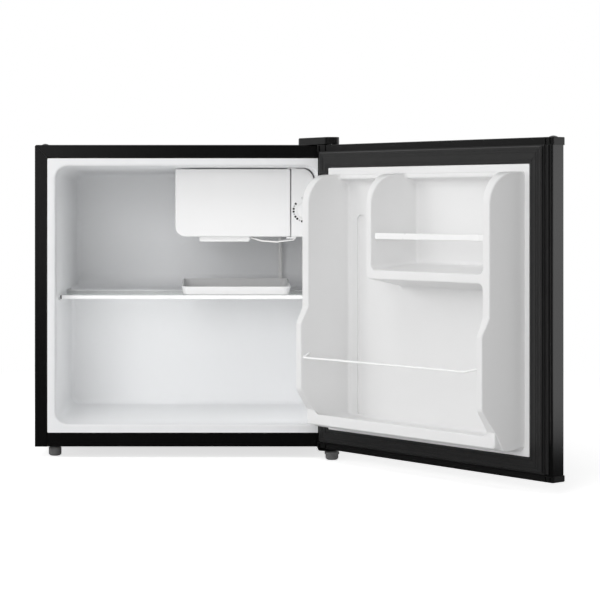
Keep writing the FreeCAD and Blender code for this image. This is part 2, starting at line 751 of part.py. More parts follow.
def top_hinge_cover():
    """Black moulded cap over the bracket: diagonal front, rounded nose, hollow below."""
    owner = body("HingeCover")
    pad(cover_outline(sketch(owner, "XY", "body_top + 0.1"), "0"), "11")
    soften(owner, "1", lambda box, line: near(box.ZMin, value("body_top") + 11.1))
    pocket(cover_outline(sketch(owner, "XY", "body_top - 1"), "1.8"), "10")
    return node("top_hinge_cover", owner)


def bottom_hinge_bracket():
    """Steel plate under the cabinet's front corner that carries the lower pin and the foot beside it."""
    owner = body("BottomBracket")
    plate = sketch(owner, "XY", "body_low - 2.3")
    left, right, nose = "hinge_x - 17.6", "hinge_x + 13", "hinge_y - 13"
    outline(plate, [(left, nose), (right, nose), (right, "58"), (left, "58")],
            {0: "12", 1: "12", 2: "4", 3: "4"})
    pad(plate, "2.2")
    holes = sketch(owner, "XY", "body_low - 4")
    circle(holes, "hinge_x", "hinge_y", "3.9")
    circle(holes, *FOOT_RIGHT, "3")
    for y in ("24", "46"):
        circle(holes, "hinge_x - 2", y, "2.6")
    pocket(holes, "5")
    return node("bottom_hinge_bracket", owner)


def door_hinge_pins():
    """The two riveted pins, on one upright axis, that the door's bushes turn on."""
    upper = rod("TopPin", "Z", ("hinge_x", "hinge_y", "door_top - 11"), "3.7",
                "body_top + 2.6 - door_top + 11")
    head = rod("PinHead", "Z", ("hinge_x", "hinge_y", "body_top + 2.6"), "6", "1.6")
    lower = rod("LowPin", "Z", ("hinge_x", "hinge_y", "body_low - 2.3"), "3.7",
                "door_low + 11 - body_low + 2.3")
    return node("door_hinge_pins", group(fuse(upper, head), lower))


def dome(name, x, y, z, radius, rise, up=True):
    """A shallow spherical cap standing on a level, or hanging from it."""
    made = DOC.addObject("Part::Sphere", name)
    ball = f"(({radius}) ^ 2 + ({rise}) ^ 2) / 2 / ({rise})"
    way = 1 if up else -1
    made.Placement = Placement(Vector(), Rotation() if up else Rotation(Vector(1, 0, 0), 180))
    bind(made, Radius=ball, Angle1=f"asin(1 - ({rise}) / ({ball}))")
    return bind(made, Placement__Base__x=x, Placement__Base__y=y,
                Placement__Base__z=f"{z} + ({way}) * (({rise}) - ({ball}))")


def turned(name, x, y, profile, rounds=None):
    """A body revolved about an upright axis from a profile of radius and level."""
    owner = body(name)
    half = sketch(owner, "XZ", y)
    bind(half, AttachmentOffset__Base__x=x)
    outline(half, profile, rounds)
    spin = owner.newObject("PartDesign::Revolution", "Revolution")
    spin.Profile = half
    spin.ReferenceAxis = (half, ["V_Axis"])
    half.Visibility = False
    DOC.recompute()
    return owner


def hole_plugs():
    """Domed plugs in the spare hinge holes, at the front left of the roof and of the underside."""
    place = ("-hinge_x", "18")
    return node("hole_plugs", group(dome("RoofPlug", *place, "body_top + 0.02", "6.2", "2.2"),
                                    dome("FloorPlug", *place, "body_low - 0.02", "5.4", "2.2", up=False)))


def front_left_foot():
    """Plain levelling foot on its stud, rounded underneath."""
    owner = turned("LeftFoot", *FOOT_LEFT, [
        ("0", "0"), ("foot_radius - 2.5", "0"), ("foot_radius", "2.5"), ("foot_radius", "foot_height - 1.6"),
        ("foot_radius - 1.1", "foot_height - 1"), ("foot_radius - 1.1", "foot_height - 0.2"),
        ("3.2", "foot_height - 0.2"), ("3.2", "30"), ("0", "30")], {1: "2", 2: "2"})
    return node("front_left_foot", owner)


def fluted(owner, low, length, at, radius, count):
    """Notches a turned foot all round its rim with upright flutes."""
    flute = sketch(owner, "XY", low)
    bind(flute, AttachmentOffset__Base__x=FOOT_RIGHT[0], AttachmentOffset__Base__y=FOOT_RIGHT[1])
    circle(flute, at, "0", radius)
    notch = pocket(flute, length)
    ring = owner.newObject("PartDesign::PolarPattern", "Flutes")
    ring.Originals = [notch]
    ring.Axis = (flute, ["N_Axis"])
    ring.Angle = 360
    ring.Occurrences = count
    owner.Tip = ring
    DOC.recompute()


def front_right_foot():
    """Levelling foot beside the hinge: a ribbed cup below a wider fluted collar, on its stud."""
    owner = turned("RightFoot", *FOOT_RIGHT, [
        ("0", "0"), ("foot_radius - 2.6", "0"), ("foot_radius", "2.6"), ("foot_radius", "foot_height - 6"),
        ("foot_radius + 1.4", "foot_height - 5"), ("foot_radius + 1.4", "foot_height - 2"),
        ("foot_radius - 0.5", "foot_height - 0.6"), ("2.9", "foot_height - 0.6"), ("2.9", "17.8"),
        ("0", "17.8")], {1: "2", 2: "2"})
    fluted(owner, "1.5", "foot_height - 8.5", "foot_radius + 0.5", "1.1", 22)
    fluted(owner, "foot_height - 5.6", "6", "foot_radius + 2.2", "1.5", 12)
    return node("front_right_foot", owner)


def rear_feet():
    """Two fixed moulded feet under the compressor's mounting plate."""
    feet = [turned(name, x, "372", [("0", "0"), ("10", "0"), ("11.5", "1.5"), ("12.5", "body_low - 0.1"),
                                    ("0", "body_low - 0.1")])
            for name, x in (("RearFootLeft", "-200"), ("RearFootRight", "200"))]
    return node("rear_feet", group(*feet))


# ---------------------------------------------------------------- compressor bay
def mount_plate():
    """Pressed steel plate across the bay, with turned-up edges, that the compressor stands on."""
    owner = body("MountPlate")
    section = sketch(owner, "YZ")
    outline(section, [("bay_front + 0.3", "body_low"), ("body_depth - 0.4", "body_low"),
                      ("body_depth - 0.4", "body_low + 12"), ("body_depth - 2", "body_low + 12"),
                      ("body_depth - 2", "body_low + 1.6"), ("bay_front + 0.3", "body_low + 1.6")],
            {1: "1.5"})
    pad(section, "body_width - 2 * gauge - 2", both=True)
    holes = sketch(owner, "XY", "body_low - 1")
    for x, y in BOLTS:
        circle(holes, x, y, "3.4")
    for x in ("-165", "-150", "165", "180"):
        rectangle(holes, f"{x} - 3", f"{x} + 3", "300", "350", "2.9")
    pocket(holes, "5")
    notch = sketch(owner, "XY", "body_low + 1.7")
    rectangle(notch, "180", "214", "body_depth - 3", "body_depth")
    pocket(notch, "12")
    return node("compressor_mount_plate", owner)


POT_X, POT_Y = 10, 338
BOLTS = [(f"{POT_X} + ({x})", f"{POT_Y} + ({y})") for x in (-78, 78) for y in (-36, 36)]


def pot_form(name, shrink):
    """The compressor's rounded pot, or the room inside it."""
    owner = body(name)
    plan = sketch(owner, "XY", f"26 + {shrink}")
    rectangle(plan, f"{POT_X} - 70 + {shrink}", f"{POT_X} + 70 - {shrink}", f"{POT_Y} - 50 + {shrink}",
              f"{POT_Y} + 50 - {shrink}", f"44 - {shrink}")
    pad(plan, f"140 - 2 * {shrink}")
    soften(owner, f"30 - {shrink}", lambda box, line: near(box.ZMin, 166 - value(shrink)))
    soften(owner, f"18 - {shrink}", lambda box, line: near(box.ZMax, 26 + value(shrink)))
    return owner


def compressor_shell():
    """Hermetic compressor pot: two drawn halves with the welded lip between them, on its four lugs."""
    skin = pot_form("Pot", "0")
    lip = body("PotLip")
    ring = sketch(lip, "XY", "96")
    rectangle(ring, f"{POT_X} - 73", f"{POT_X} + 73", f"{POT_Y} - 53", f"{POT_Y} + 53", "47")
    pad(ring, "3.5")
    soften(lip, "1.5", lambda box, line: box.ZLength < 0.01)
    legs = body("PotLegs")
    straps = sketch(legs, "XY", "26")
    for side in ("-1", "1"):
        root, end = (f"{POT_X} + ({side}) * {reach}" for reach in ("30", "86"))
        outline(straps, [(root, f"{POT_Y} - 26"), (end, f"{POT_Y} - 46"), (end, f"{POT_Y} + 46"),
                         (root, f"{POT_Y} + 26")], {1: "9", 2: "9"})
    pad(straps, "2.5")
    eyes = sketch(legs, "XY", "20")
    for x, y in BOLTS:
        circle(eyes, x, y, "7.3")
    pocket(eyes, "20")
    return node("compressor_shell", cut(fuse(skin, lip, legs), pot_form("PotRoom", "3")))


def compressor_motor():
    """Stator stack and pump block, standing on four spring pegs inside the pot."""
    stack = body("Stator")
    plan = sketch(stack, "XY", "48")
    rectangle(plan, f"{POT_X} - 40", f"{POT_X} + 40", f"{POT_Y} - 36", f"{POT_Y} + 36", "8")
    pad(plan, "42")
    pegs = sketch(stack, "XY", "29.5")
    for x in (-30, 30):
        for y in (-24, 24):
            circle(pegs, f"{POT_X} + ({x})", f"{POT_Y} + ({y})", "5")
    pad(pegs, "19")
    crank = sketch(stack, "XY", "89")
    circle(crank, f"{POT_X}", f"{POT_Y}", "27")
    pad(crank, "26")
    head = sketch(stack, "YZ", f"{POT_X} + 20")
    rectangle(head, f"{POT_Y} - 20", f"{POT_Y} + 20", "92", "128", "5")
    pad(head, "26")
    return node("compressor_motor", stack)


def compressor_grommets():
    """Rubber feet in the compressor's lugs."""
    rings = [turned(f"Grommet{i}", x, y, [("3.3", "19.8"), ("10", "19.8"), ("10", "25.8"), ("7", "25.8"),
                                          ("7", "28.8"), ("9.5", "28.8"), ("9.5", "32"), ("3.3", "32")])
             for i, (x, y) in enumerate(BOLTS)]
    return node("compressor_grommets", group(*rings))


def compressor_bolts():
    """Shouldered bolts up through the plate, with their flanged nuts."""
    profile = [("0", "15"), ("5.5", "15"), ("5.5", "17.9"), ("3", "17.9"), ("3", "32.2"), ("7", "32.2"),
               ("7", "34"), ("5", "34"), ("5", "38"), ("0", "38")]
    bolts = [turned(f"Bolt{i}", x, y, profile)
             for i, (x, y) in enumerate(BOLTS)]
    return node("compressor_bolts", group(*bolts))


def terminal_cover():
    """Clip-on cover of the compressor's terminals, starting relay and overload."""
    owner = body("Terminal")
    plan = sketch(owner, "XY", "70")
    left = f"{POT_X} + 73.4"
    rectangle(plan, left, f"{POT_X} + 108", f"{POT_Y} - 30", f"{POT_Y} + 30", "5")
    pad(plan, "62")
    soften(owner, "3", lambda box, line: box.ZLength < 0.01 and box.XMax > POT_X + 106)
    for z in ("84", "92", "100", "108"):
        vent = sketch(owner, "XZ", f"{POT_Y} + 20")
        rectangle(vent, f"{POT_X} + 84", f"{POT_X} + 100", z, f"{z} + 3", "1.4")
        pocket(vent, "14")
    return node("terminal_cover", owner)


def evaporation_pan():
    """Shallow moulded pan on top of the compressor, where the defrost water dries away."""
    forms = []
    for name, low, grow in (("PanOuter", 168, 0), ("PanInner", 170, -2)):
        owner = body(name)
        floor = sketch(owner, "XY", str(low))
        rectangle(floor, f"{POT_X} - 66 - ({grow})", f"{POT_X} + 66 + ({grow})", f"{POT_Y} - 42 - ({grow})",
                  f"{POT_Y} + 42 + ({grow})", f"12 + {grow}")
        pad(floor, "22", taper="8")
        forms.append(owner)
    return node("evaporation_pan", cut(forms[0], forms[1]))


def bay_tubes():
    """Copper and steel pipework between the compressor, the drier and the foamed-in coils."""
    x, y = POT_X, POT_Y
    node("discharge_tube", tube("Discharge", [
        Vector(x - 71, y + 10, 74), Vector(x - 96, y + 14, 74), Vector(x - 104, y + 20, 112),
        Vector(x - 150, y + 26, 132), Vector(x - 196, y + 20, 160), Vector(x - 211, y - 20, 190),
        Vector(x - 211, y - 20, 231)], "2.4"))
    node("suction_line", tube("Suction", [
        Vector(x - 71, y - 14, 90), Vector(x - 92, y - 20, 94), Vector(x - 100, y - 24, 150),
        Vector(x - 86, y - 24, 196), Vector(x - 46, y - 26, 212), Vector(x - 10, y - 26, 213),
        Vector(x - 10, y - 26, 231)], "3.2"))
    node("process_tube", tube("Process", [
        Vector(x - 71, y + 26, 62), Vector(x - 88, y + 30, 60), Vector(x - 116, y + 32, 52)], "3"))
    node("capillary_tube", tube("Capillary", [
        Vector(x + 158, y + 14, 96.1), Vector(x + 158, y + 14, 78), Vector(x + 146, y - 8, 70),
        Vector(x + 128, y - 18, 110), Vector(x + 108, y - 20, 196), Vector(x + 108, y - 20, 231)], "1.1"))
    node("condenser_return", tube("Return", [
        Vector(x + 158, y + 14, 176.5), Vector(x + 158, y + 14, 192), Vector(x + 186, y - 4, 212),
        Vector(x + 207, y - 16, 210), Vector(x + 207, y - 16, 231)], "2.4"))


def filter_drier():
    """Copper drier, swaged down at both ends, standing between the condenser and the capillary."""
    x, y = f"{POT_X} + 158", f"{POT_Y} + 14"
    owner = turned("Drier", x, y, [("0", "96.2"), ("2.6", "96.2"), ("2.6", "104"), ("8", "112"), ("8", "158"),
                                   ("3.6", "166"), ("3.6", "176.3"), ("0", "176.3")], {3: "5", 4: "5"})
    return node("filter_drier", owner)


def cord_gland():
    """Moulded entry of the mains lead in the back edge of the plate, empty, with its clamping rib."""
    base = block("Gland", ("182", "body_depth - 22", "body_low + 1.7"),
                 ("212", "body_depth - 2.1", "body_low + 22"))
    hole = rod("GlandHole", "Y", ("197", "370", "body_low + 13"), "4", "40")
    return node("cord_gland", cut(base, hole))


# ---------------------------------------------------------------- door, closed, about its hinge axis
def across(u):
    """X of a place on the door at a distance u from its hinge-side edge."""
    return f"(hinge_inset - ({u}))"


def proud(n):
    """Y of a place on the door at a height n above the inner face of its panel."""
    return f"(panel_half + {n})"


def door_panel():
    """Folded steel front with both sides and their narrow inner returns, open at top and bottom."""
    owner = body("DoorPanel")
    plan = sketch(owner, "XY", "door_low + cap_height")
    near_side, far_side = across("0"), across("door_width")
    outline(plan, [
        (near_side, "-panel_half"), (near_side, "panel_half"), (f"{near_side} - 11.5", "panel_half"),
        (f"{near_side} - 11.5", "panel_half - gauge"), (f"{near_side} - gauge", "panel_half - gauge"),
        (f"{near_side} - gauge", "gauge - panel_half"), (f"{far_side} + gauge", "gauge - panel_half"),
        (f"{far_side} + gauge", "panel_half - gauge"), (f"{far_side} + 11.5", "panel_half - gauge"),
        (f"{far_side} + 11.5", "panel_half"), (far_side, "panel_half"), (far_side, "-panel_half")],
        {0: "bend", 1: "bend", 10: "bend", 11: "bend"})
    pad(plan, "door_top - top_cap_height - door_low - cap_height")
    return node("door_panel", owner, "door")


def door_cap(label, low, high, tongue_low, hole_from):
    """Black moulded end cap, a little larger than the panel, with the tongue that fills its end and
    the slots of either hinge side."""
    owner = body(label.title().replace("_", ""))
    plan = sketch(owner, "XY", low)
    rectangle(plan, across("door_width + cap_proud"), across("-cap_proud"), "-panel_half - cap_proud",
              "panel_half + 0.6", "3")
    pad(plan, f"{high} - ({low})")
    outer = value(high if "top" in label else low)
    soften(owner, "1.4", lambda box, line: near(box.ZMin, outer) and near(box.ZMax, outer))
    tongue = sketch(owner, "XY", tongue_low)
    rectangle(tongue, across("door_width - gauge - 0.2"), across("gauge + 0.2"), "gauge + 0.2 - panel_half",
              "panel_half - gauge - 0.2", "1.5")
    pad(tongue, "7")
    hole = sketch(owner, "XY", hole_from)
    circle(hole, "0", "0", "5.5")
    pocket(hole, "30")
    slots = sketch(owner, "XY", f"{low} + 1")
    for left, right in (("3.4", "7.2"), ("17.8", "20.4"), ("door_width - 12.4", "door_width - 10.4"),
                        ("door_width - 4.6", "door_width - 2.4")):
        rectangle(slots, across(right), across(left), "panel_half - 2.2", "panel_half + 1")
    pocket(slots, f"{high} - ({low}) - 2")
    return node(label, owner, "door")


def door_top_cap():
    return door_cap("door_top_cap", "door_top - top_cap_height", "door_top", "door_top - top_cap_height - 6",
                    "door_top - 22")


def door_bottom_cap():
    return door_cap("door_bottom_cap", "door_low", "door_low + cap_height", "door_low + cap_height - 1",
                    "door_low - 2")


def door_hinge_bushes():
    """Nylon bushes pressed in the end caps, that turn on the two pins."""
    rings = []
    for name, low in (("TopBush", "door_top - 11.5"), ("LowBush", "door_low + 0.2")):
        outer = rod(name, "Z", ("0", "0", low), "5.4", "11.3")
        rings.append(cut(outer, rod(name + "Bore", "Z", ("0", "0", f"{low} - 1"), "3.75", "14")))
    return node("door_hinge_bushes", group(*rings), "door")


def door_cap_plug():
    """Dome that closes the spare hinge hole at the free end of the top cap."""
    made = dome("CapPlug", across("door_width - 8.6"), "0", "door_top + 0.02", "6.6", "2.1")
    return node("door_cap_plug", group(made), "door")


def wedge(name, root, tip, left_root, right_root, left_tip, right_tip):
    """An upright block on the door whose two sides are drafted between two heights."""
    owner = body(name)
    plan = outline(sketch(owner, "XY", "0"), [
        (across(right_root), proud(root)), (across(left_root), proud(root)),
        (across(left_tip), proud(tip)), (across(right_tip), proud(tip))])
    pad(plan, "600")
    return owner


def raised_form(name, inset):
    """The liner's whole raised shape before its pockets are taken out, set in by a wall: what its
    outlines from above, from the front and from the side have in common."""
    above = wedge(name + "Above", "-1", "90", f"39.5 + {inset}", f"431.5 - {inset}", f"43.9 + {inset}",
                  f"419.2 - {inset}")
    front = body(name + "Front")
    face = rectangle(sketch(front, "XZ", proud("-1")), across(f"432 - {inset}"), across(f"39 + {inset}"),
                     f"56 + {inset}", f"446 - {inset}", f"17 - {inset}")
    pad(face, "100")
    side = body(name + "Side")
    profile = outline(sketch(side, "YZ"), [
        (proud("-1"), f"56.5 + {inset}"), (proud("46"), f"60 + {inset}"), (proud(f"60 - {inset}"), "86"),
        (proud(f"fin_deeper - {inset}"), "117"), (proud(f"fin_deeper - {inset}"), "217"),
        (proud(f"fin_deep - {inset}"), "241"), (proud(f"fin_deep - {inset}"), f"439 - {inset}"),
        (proud("-1"), f"440 - {inset}")],
        {1: "9", 2: "14", 3: "12", 4: "10", 5: "10", 6: f"46 - {inset}"})
    pad(profile, "1200", both=True)
    return common(above, front, side)


def pocket_form(name, grow, sides, floor, ceiling=None):
    """A drafted pocket grown by a wall: its sides as (left, right) and its floor and ceiling as
    levels, each at the base and at the rim. Without a ceiling it is open above a low ridge."""
    (left_root, right_root), (left_tip, right_tip) = sides
    base = f"-6 - {grow}"
    above = wedge(name + "Above", base, "90", f"{left_root} - {grow}", f"{right_root} + {grow}",
                  f"{left_tip} - {grow}", f"{right_tip} + {grow}")
    side = body(name + "Side")
    walls = [(proud(base), f"{floor[0]} - {grow}"), (proud("90"), f"{floor[1]} - {grow}")]
    if ceiling:
        walls += [(proud("90"), f"{ceiling[1]} + {grow}"), (proud(base), f"{ceiling[0]} + {grow}")]
        rounds = {3: f"7 + {grow}"}
    else:
        ridge = proud(f"13 - {grow}")
        walls += [(proud("90"), "560"), (ridge, "560"), (ridge, f"433 + {grow}"),
                  (proud(base), f"428 + {grow}")]
        rounds = {4: "3", 5: f"12 + {grow}"}
    pad(outline(sketch(side, "YZ"), walls, rounds), "1200", both=True)
    return common(above, side)


def eased(form, grow):
    """A pocket with its upright corners rounded, then the foot of its walls."""
    base = value(proud(f"-6 - {grow}"))
    upright = rounded(form, f"8 + {grow}", lambda box, line: box.YLength > 60 and box.ZMax < 500)
    return rounded(upright, f"5 + {grow}", lambda box, line: near(box.YMax, base) and near(box.YMin, base)
                   and box.ZMax < value("428") + value(grow) - 0.5)


def base_groove(name, grow):
    """Shallow upright channel in the base of the hinge-side pocket, round at its top."""
    owner = body(name)
    plan = sketch(owner, "XZ", proud(f"-6 - groove_deep - ({grow})"))
    left, right = across(f"groove_right + {grow}"), across(f"groove_left - ({grow})")
    low, high = f"78 - ({grow})", f"groove_top + {grow}"
    outline(plan, [(left, low), (right, low), (right, high), (left, high)],
            {0: f"4 + {grow}", 1: f"4 + {grow}", 2: f"8 + {grow}", 3: f"8 + {grow}"})
    pad(plan, f"groove_deep + {grow} + 2")
    deep = value(proud(f"-6 - groove_deep - ({grow})"))
    soften(owner, f"1.6 + {grow}", lambda box, line: near(box.YMin, deep) and near(box.YMax, deep))
    return owner


def tall_pocket(name, grow):
    """The hinge-side pocket and the wide one below the upper box, in one L, with the base's groove."""
    tall = pocket_form(name, grow, ((66, 174), (54.5, 183.6)), (74, 64))
    wide = pocket_form(name + "Wide", grow, ((66, 400), (54.5, 411)), (74, 64), (274, 291))
    return fuse(eased(fuse(tall, wide), grow), base_groove(name + "Groove", grow))


def box_pocket(name, grow):
    """The upper box beside it, with its own floor."""
    return eased(pocket_form(name, grow, ((210, 400), (187, 412)), (309, 298)), grow)


def bordered(plan, margin, radius=None):
    """A rectangle inside a margin from the door's edges. The seal's inner edge lies closer to the
    sides and the bottom than to the top, and so does a margin that is counted from it."""
    side, under = (margin.replace("gasket_in", edge) for edge in ("gasket_side", "gasket_under"))
    return rectangle(plan, across(f"door_width - ({side})"), across(side), f"body_low + {under}",
                     f"body_top - ({margin})", radius)


def slab(name, margin, low, high, radius):
    """A flat plate on the door's inner face, inside a margin from its edges."""
    owner = body(name)
    pad(bordered(sketch(owner, "XZ", proud(low)), margin, radius), f"({high}) - ({low})")
    return owner


def door_core(name, inset):
    """The room inside the liner's fins, shelves and border, that the foam fills."""
    border = slab(name + "Plateau", f"gasket_in + 0.6 + {inset}", "-0.5", f"plateau - {inset}", "1")
    whole = fuse(raised_form(name, inset), border)
    return cut(whole, tall_pocket(name + "Tall", inset), box_pocket(name + "Box", inset))


def fin_edge(box, line):
    """Whether an edge runs along the front of a fin."""
    return box.YMin > value(proud("60")) - 0.4 and box.XLength < 9 and box.ZMin > 86


def soft_fins(form):
    """The fins' edges rounded on the side of the pockets too."""
    left, right = value(across("415")), value(across("46"))
    return rounded(form, "tip_round", lambda box, line: fin_edge(box, line) and box.XMax > left
                   and box.XMin < right)


def door_liner():
    """White thermoformed door liner, one skin all over: flange, border, two deep fins, the divided
    upper box and the pockets between them."""
    skin = "liner_skin"
    rooms = tall_pocket("TallRoom", "0"), box_pocket("BoxRoom", "0")
    raised = rounded(raised_form("Raised", "0"), "tip_round", fin_edge)
    face = fuse(soft_fins(cut(raised, *rooms)), slab("Plateau", "gasket_in + 0.6", "0.2", "plateau", "1.5"),
                slab("Flange", "gasket_out + 1.5", "0.1", "1.3", "2"))
    wells = [common(form, slab(f"Well{i}", "40", "-14", "0.8", "2")) for i, form in
             enumerate((tall_pocket("TallWell", skin), box_pocket("BoxWell", skin)))]
    return node("door_liner", cut(fuse(face, *wells), *rooms, door_core("Core", skin)), "door")


def door_insulation():
    """Foam of the door: the slab in the panel and what fills the liner's fins."""
    slack = "(liner_skin + 0.3)"
    low, high = "door_low + cap_height + 6.5", "door_top - top_cap_height - 6.5"
    plate = block("DoorFoam", (across("door_width - gauge - 0.3"), "gauge + 0.3 - panel_half", low),
                  (across("gauge + 0.3"), "panel_half - 1.3", high))
    solid = cut(plate, tall_pocket("TallFoam", slack), box_pocket("BoxFoam", slack))
    return node("door_insulation", solid, "door")


def ring(owner, low, outer, inner):
    """Sketch of a frame on the door's inner face between two margins, padded."""
    plan = sketch(owner, "XZ", proud(low))
    for margin in (outer, inner):
        bordered(plan, margin)
    return plan


def gasket_foot(owner):
    """The seal's thin outer flange, that lies on the panel's returns outside the liner's edge."""
    plan = sketch(owner, "XZ", proud("0.1"))
    for side, end in (("6.2", "gasket_out - 1.2"), ("gasket_out + 1.4", "gasket_out + 1.4")):
        rectangle(plan, across(f"door_width - ({side})"), across(side), f"body_low + {end}",
                  f"body_top - ({end})")
    pad(plan, "1.5")


def weld_flashes(owner):
    """Thin raised lines where the seal's four lengths are welded in mitres."""
    plan = sketch(owner, "XZ", proud("gasket_high - 0.4"))
    outer, half = "(gasket_out + 1.6)", "0.3"
    for level, end in (("body_low + {}", "(gasket_under - 1.4)"), ("body_top - {}", "(gasket_in - 1.4)")):
        for flip in ("{}", "door_width - {}"):
            x0, x1 = (across(flip.format(margin)) for margin in (outer, "(gasket_side - 1.4)"))
            z0, z1 = level.format(outer), level.format(end)
            outline(plan, [(f"{x0} - {half}", z0), (f"{x0} + {half}", z0), (f"{x1} + {half}", z1),
                           (f"{x1} - {half}", z1)])
    pad(plan, "0.6")


def door_gasket():
    """Magnetic seal: a soft frame with lengthwise ridges, a bellows at its side and welded corners."""
    owner = body("Gasket")
    pad(ring(owner, "1.4", "gasket_out", "gasket_in"), "gasket_high - 1.4")
    top = value(proud("gasket_high"))
    soften(owner, "1.6", lambda box, edge: near(box.YMin, top) and near(box.YMax, top))
    for margin in ("gasket_out + 4.4", "gasket_out + 8", "gasket_in - 5.4"):
        pocket(ring(owner, "gasket_high - 0.6", margin, f"{margin} + 1.1"), "4")
    pocket(ring(owner, "2.4", "gasket_out + 9.5", "gasket_in - 6.5"), "3.6")
    pocket(ring(owner, "4.4", "gasket_out - 1", "gasket_out + 2.6"), "1.9")
    pad(ring(owner, "1.5", "gasket_out - 1.8", "gasket_out + 1"), "2.8")
    gasket_foot(owner)
    weld_flashes(owner)
    return node("door_gasket", owner, "door")


def gasket_magnets():
    """Flexible magnet strips lying in the seal."""
    strips = []
    out, side = "(gasket_out + 9.7)", "(gasket_side - 6.7)"
    under, over = "(gasket_under - 6.7)", "(gasket_in - 6.7)"
    low, high = proud("2.6"), proud("5.8")
    floor, ceiling = f"body_low + {under} + 2", f"body_top - {over} - 2"
    for name, x0, x1, z0, z1 in (
            ("MagnetHinge", side, out, floor, ceiling),
            ("MagnetFree", f"door_width - {out}", f"door_width - {side}", floor, ceiling),
            ("MagnetLow", f"door_width - {side}", side, f"body_low + {out}", f"body_low + {under}"),
            ("MagnetTop", f"door_width - {side}", side, f"body_top - {over}", f"body_top - {out}")):
        strips.append(block(name, (across(x0), low, z0), (across(x1), high, z1)))
    return node("gasket_magnets", group(*strips), "door")


def upper_retainer_bar():
    """Flat bar across the upper box, its ends in the divider and the fin."""
    owner = body("Bar")
    section = sketch(owner, "YZ", across("407.6"))
    rectangle(section, proud("60"), proud("64.4"), "344.6", "353.6", "1.4")
    pad(section, "407.6 - 194.6")
    return node("upper_retainer_bar", owner, "door")


def wire_retainer():
    """Wire rail across the lower pockets, its cranked ends sprung into the fins."""
    def at(u, n, z):
        return Vector(value(across(u)), value(proud(n)), z)
    made = tube("Wire", [at(58.8, 70, 172), at(61.5, 84, 166.5), at(391, 84, 168), at(406.4, 70, 173)], "1.6")
    return node("wire_retainer", made, "door")


# ---------------------------------------------------------------- build
SUB_PARTS = [
    outer_wrapper, bottom_pan, compressor_bulkhead, rear_panel, cabinet_insulation, inner_liner,
    evaporator_box, freezer_flap, thermostat_housing, thermostat_switch, thermostat_knob, sensing_tube,
    suction_tube_sleeve, shelf_glass, shelf_front_trim, shelf_rear_trim, drip_tray,
    top_hinge_bracket, top_hinge_cover, bottom_hinge_bracket, door_hinge_pins, hole_plugs,
    front_left_foot, front_right_foot, rear_feet,
    mount_plate, compressor_shell, compressor_motor, compressor_grommets, compressor_bolts,
    terminal_cover, evaporation_pan, bay_tubes, filter_drier, cord_gland,
    door_panel, door_top_cap, door_bottom_cap, door_hinge_bushes, door_cap_plug, door_liner,
    door_insulation, door_gasket, gasket_magnets, upper_retainer_bar, wire_retainer,
]


def build():
    """Make every sub-part, refuse any that failed, and write one STEP file for each."""
    for make in SUB_PARTS:
        make()
    DOC.recompute()
    failed = [made.Label for made in DOC.Objects if {"Invalid", "Error"} & set(made.State)]
    failed += [made.Label for made in NODES if made.Shape.isNull() or not made.Shape.isValid()]
    if failed:
        raise RuntimeError(f"failed: {', '.join(failed)}")
    os.makedirs("parts", exist_ok=True)
    for made in NODES:
        made.Shape.exportStep(f"parts/{made.Label}.step")
    whole = FreeCAD.BoundBox()
    for made in NODES:
        whole.add(made.Shape.BoundBox)
    print(f"{len(NODES)} sub-parts, {whole}")


build()
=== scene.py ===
"""Looks of a compact refrigerator standing open: a finish for every CAD part, the trim too fine for
CAD, and the front lip of the door's lower pocket.

Lengths are in metres, in the frame of the CAD parts: +X to the right, +Y to the back, +Z up, floor at Z 0.
"""
import json
import math

import bmesh
import bpy
import numpy as np
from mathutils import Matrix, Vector


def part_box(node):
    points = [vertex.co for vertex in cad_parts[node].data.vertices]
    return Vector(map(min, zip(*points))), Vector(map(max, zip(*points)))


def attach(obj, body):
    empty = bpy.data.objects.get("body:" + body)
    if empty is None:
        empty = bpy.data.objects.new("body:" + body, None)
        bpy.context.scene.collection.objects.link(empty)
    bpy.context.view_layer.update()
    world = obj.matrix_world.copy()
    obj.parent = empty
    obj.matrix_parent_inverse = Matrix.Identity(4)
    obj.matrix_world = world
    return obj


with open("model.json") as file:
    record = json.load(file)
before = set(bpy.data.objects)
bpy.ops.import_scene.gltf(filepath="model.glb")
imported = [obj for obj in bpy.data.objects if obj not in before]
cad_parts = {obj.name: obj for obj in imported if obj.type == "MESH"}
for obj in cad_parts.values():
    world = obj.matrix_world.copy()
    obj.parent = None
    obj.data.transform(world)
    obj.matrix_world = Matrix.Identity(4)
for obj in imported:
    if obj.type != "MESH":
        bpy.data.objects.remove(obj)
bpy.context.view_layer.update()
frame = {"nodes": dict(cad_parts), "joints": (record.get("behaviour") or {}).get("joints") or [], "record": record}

MM = 0.001
HINGE_INSET, PANEL_HALF = 15 * MM, 12 * MM  # the hinge from the door's edge, and half the panel's thickness
cabinet_low, cabinet_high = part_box("outer_wrapper")
CABINET_X = (cabinet_low.x + cabinet_high.x) / 2
FRONT_Y = cabinet_low.y
HALF_HEIGHT = 0.25  # about half way up the cabinet, where the lamps aim


# ---------------------------------------------------------------- camera, floor and light

def make_camera():
    """Camera square to the cabinet's front, as high as the freezer flap, with the lens shifted to frame
    the open door."""
    aside, distance, eye_height = 0.055, 2.898, 0.397
    lens = bpy.data.cameras.new("camera")
    lens.lens, lens.sensor_width = 111.9, 36.0
    lens.shift_x, lens.shift_y = 0.130, -0.162
    lens.clip_start, lens.clip_end = 0.05, 60.0
    camera = bpy.data.objects.new("camera", lens)
    camera.location = (CABINET_X + aside, FRONT_Y - distance, eye_height)
    camera.rotation_euler = (math.radians(90), 0, 0)
    bpy.context.scene.collection.objects.link(camera)
    bpy.context.scene.camera = camera


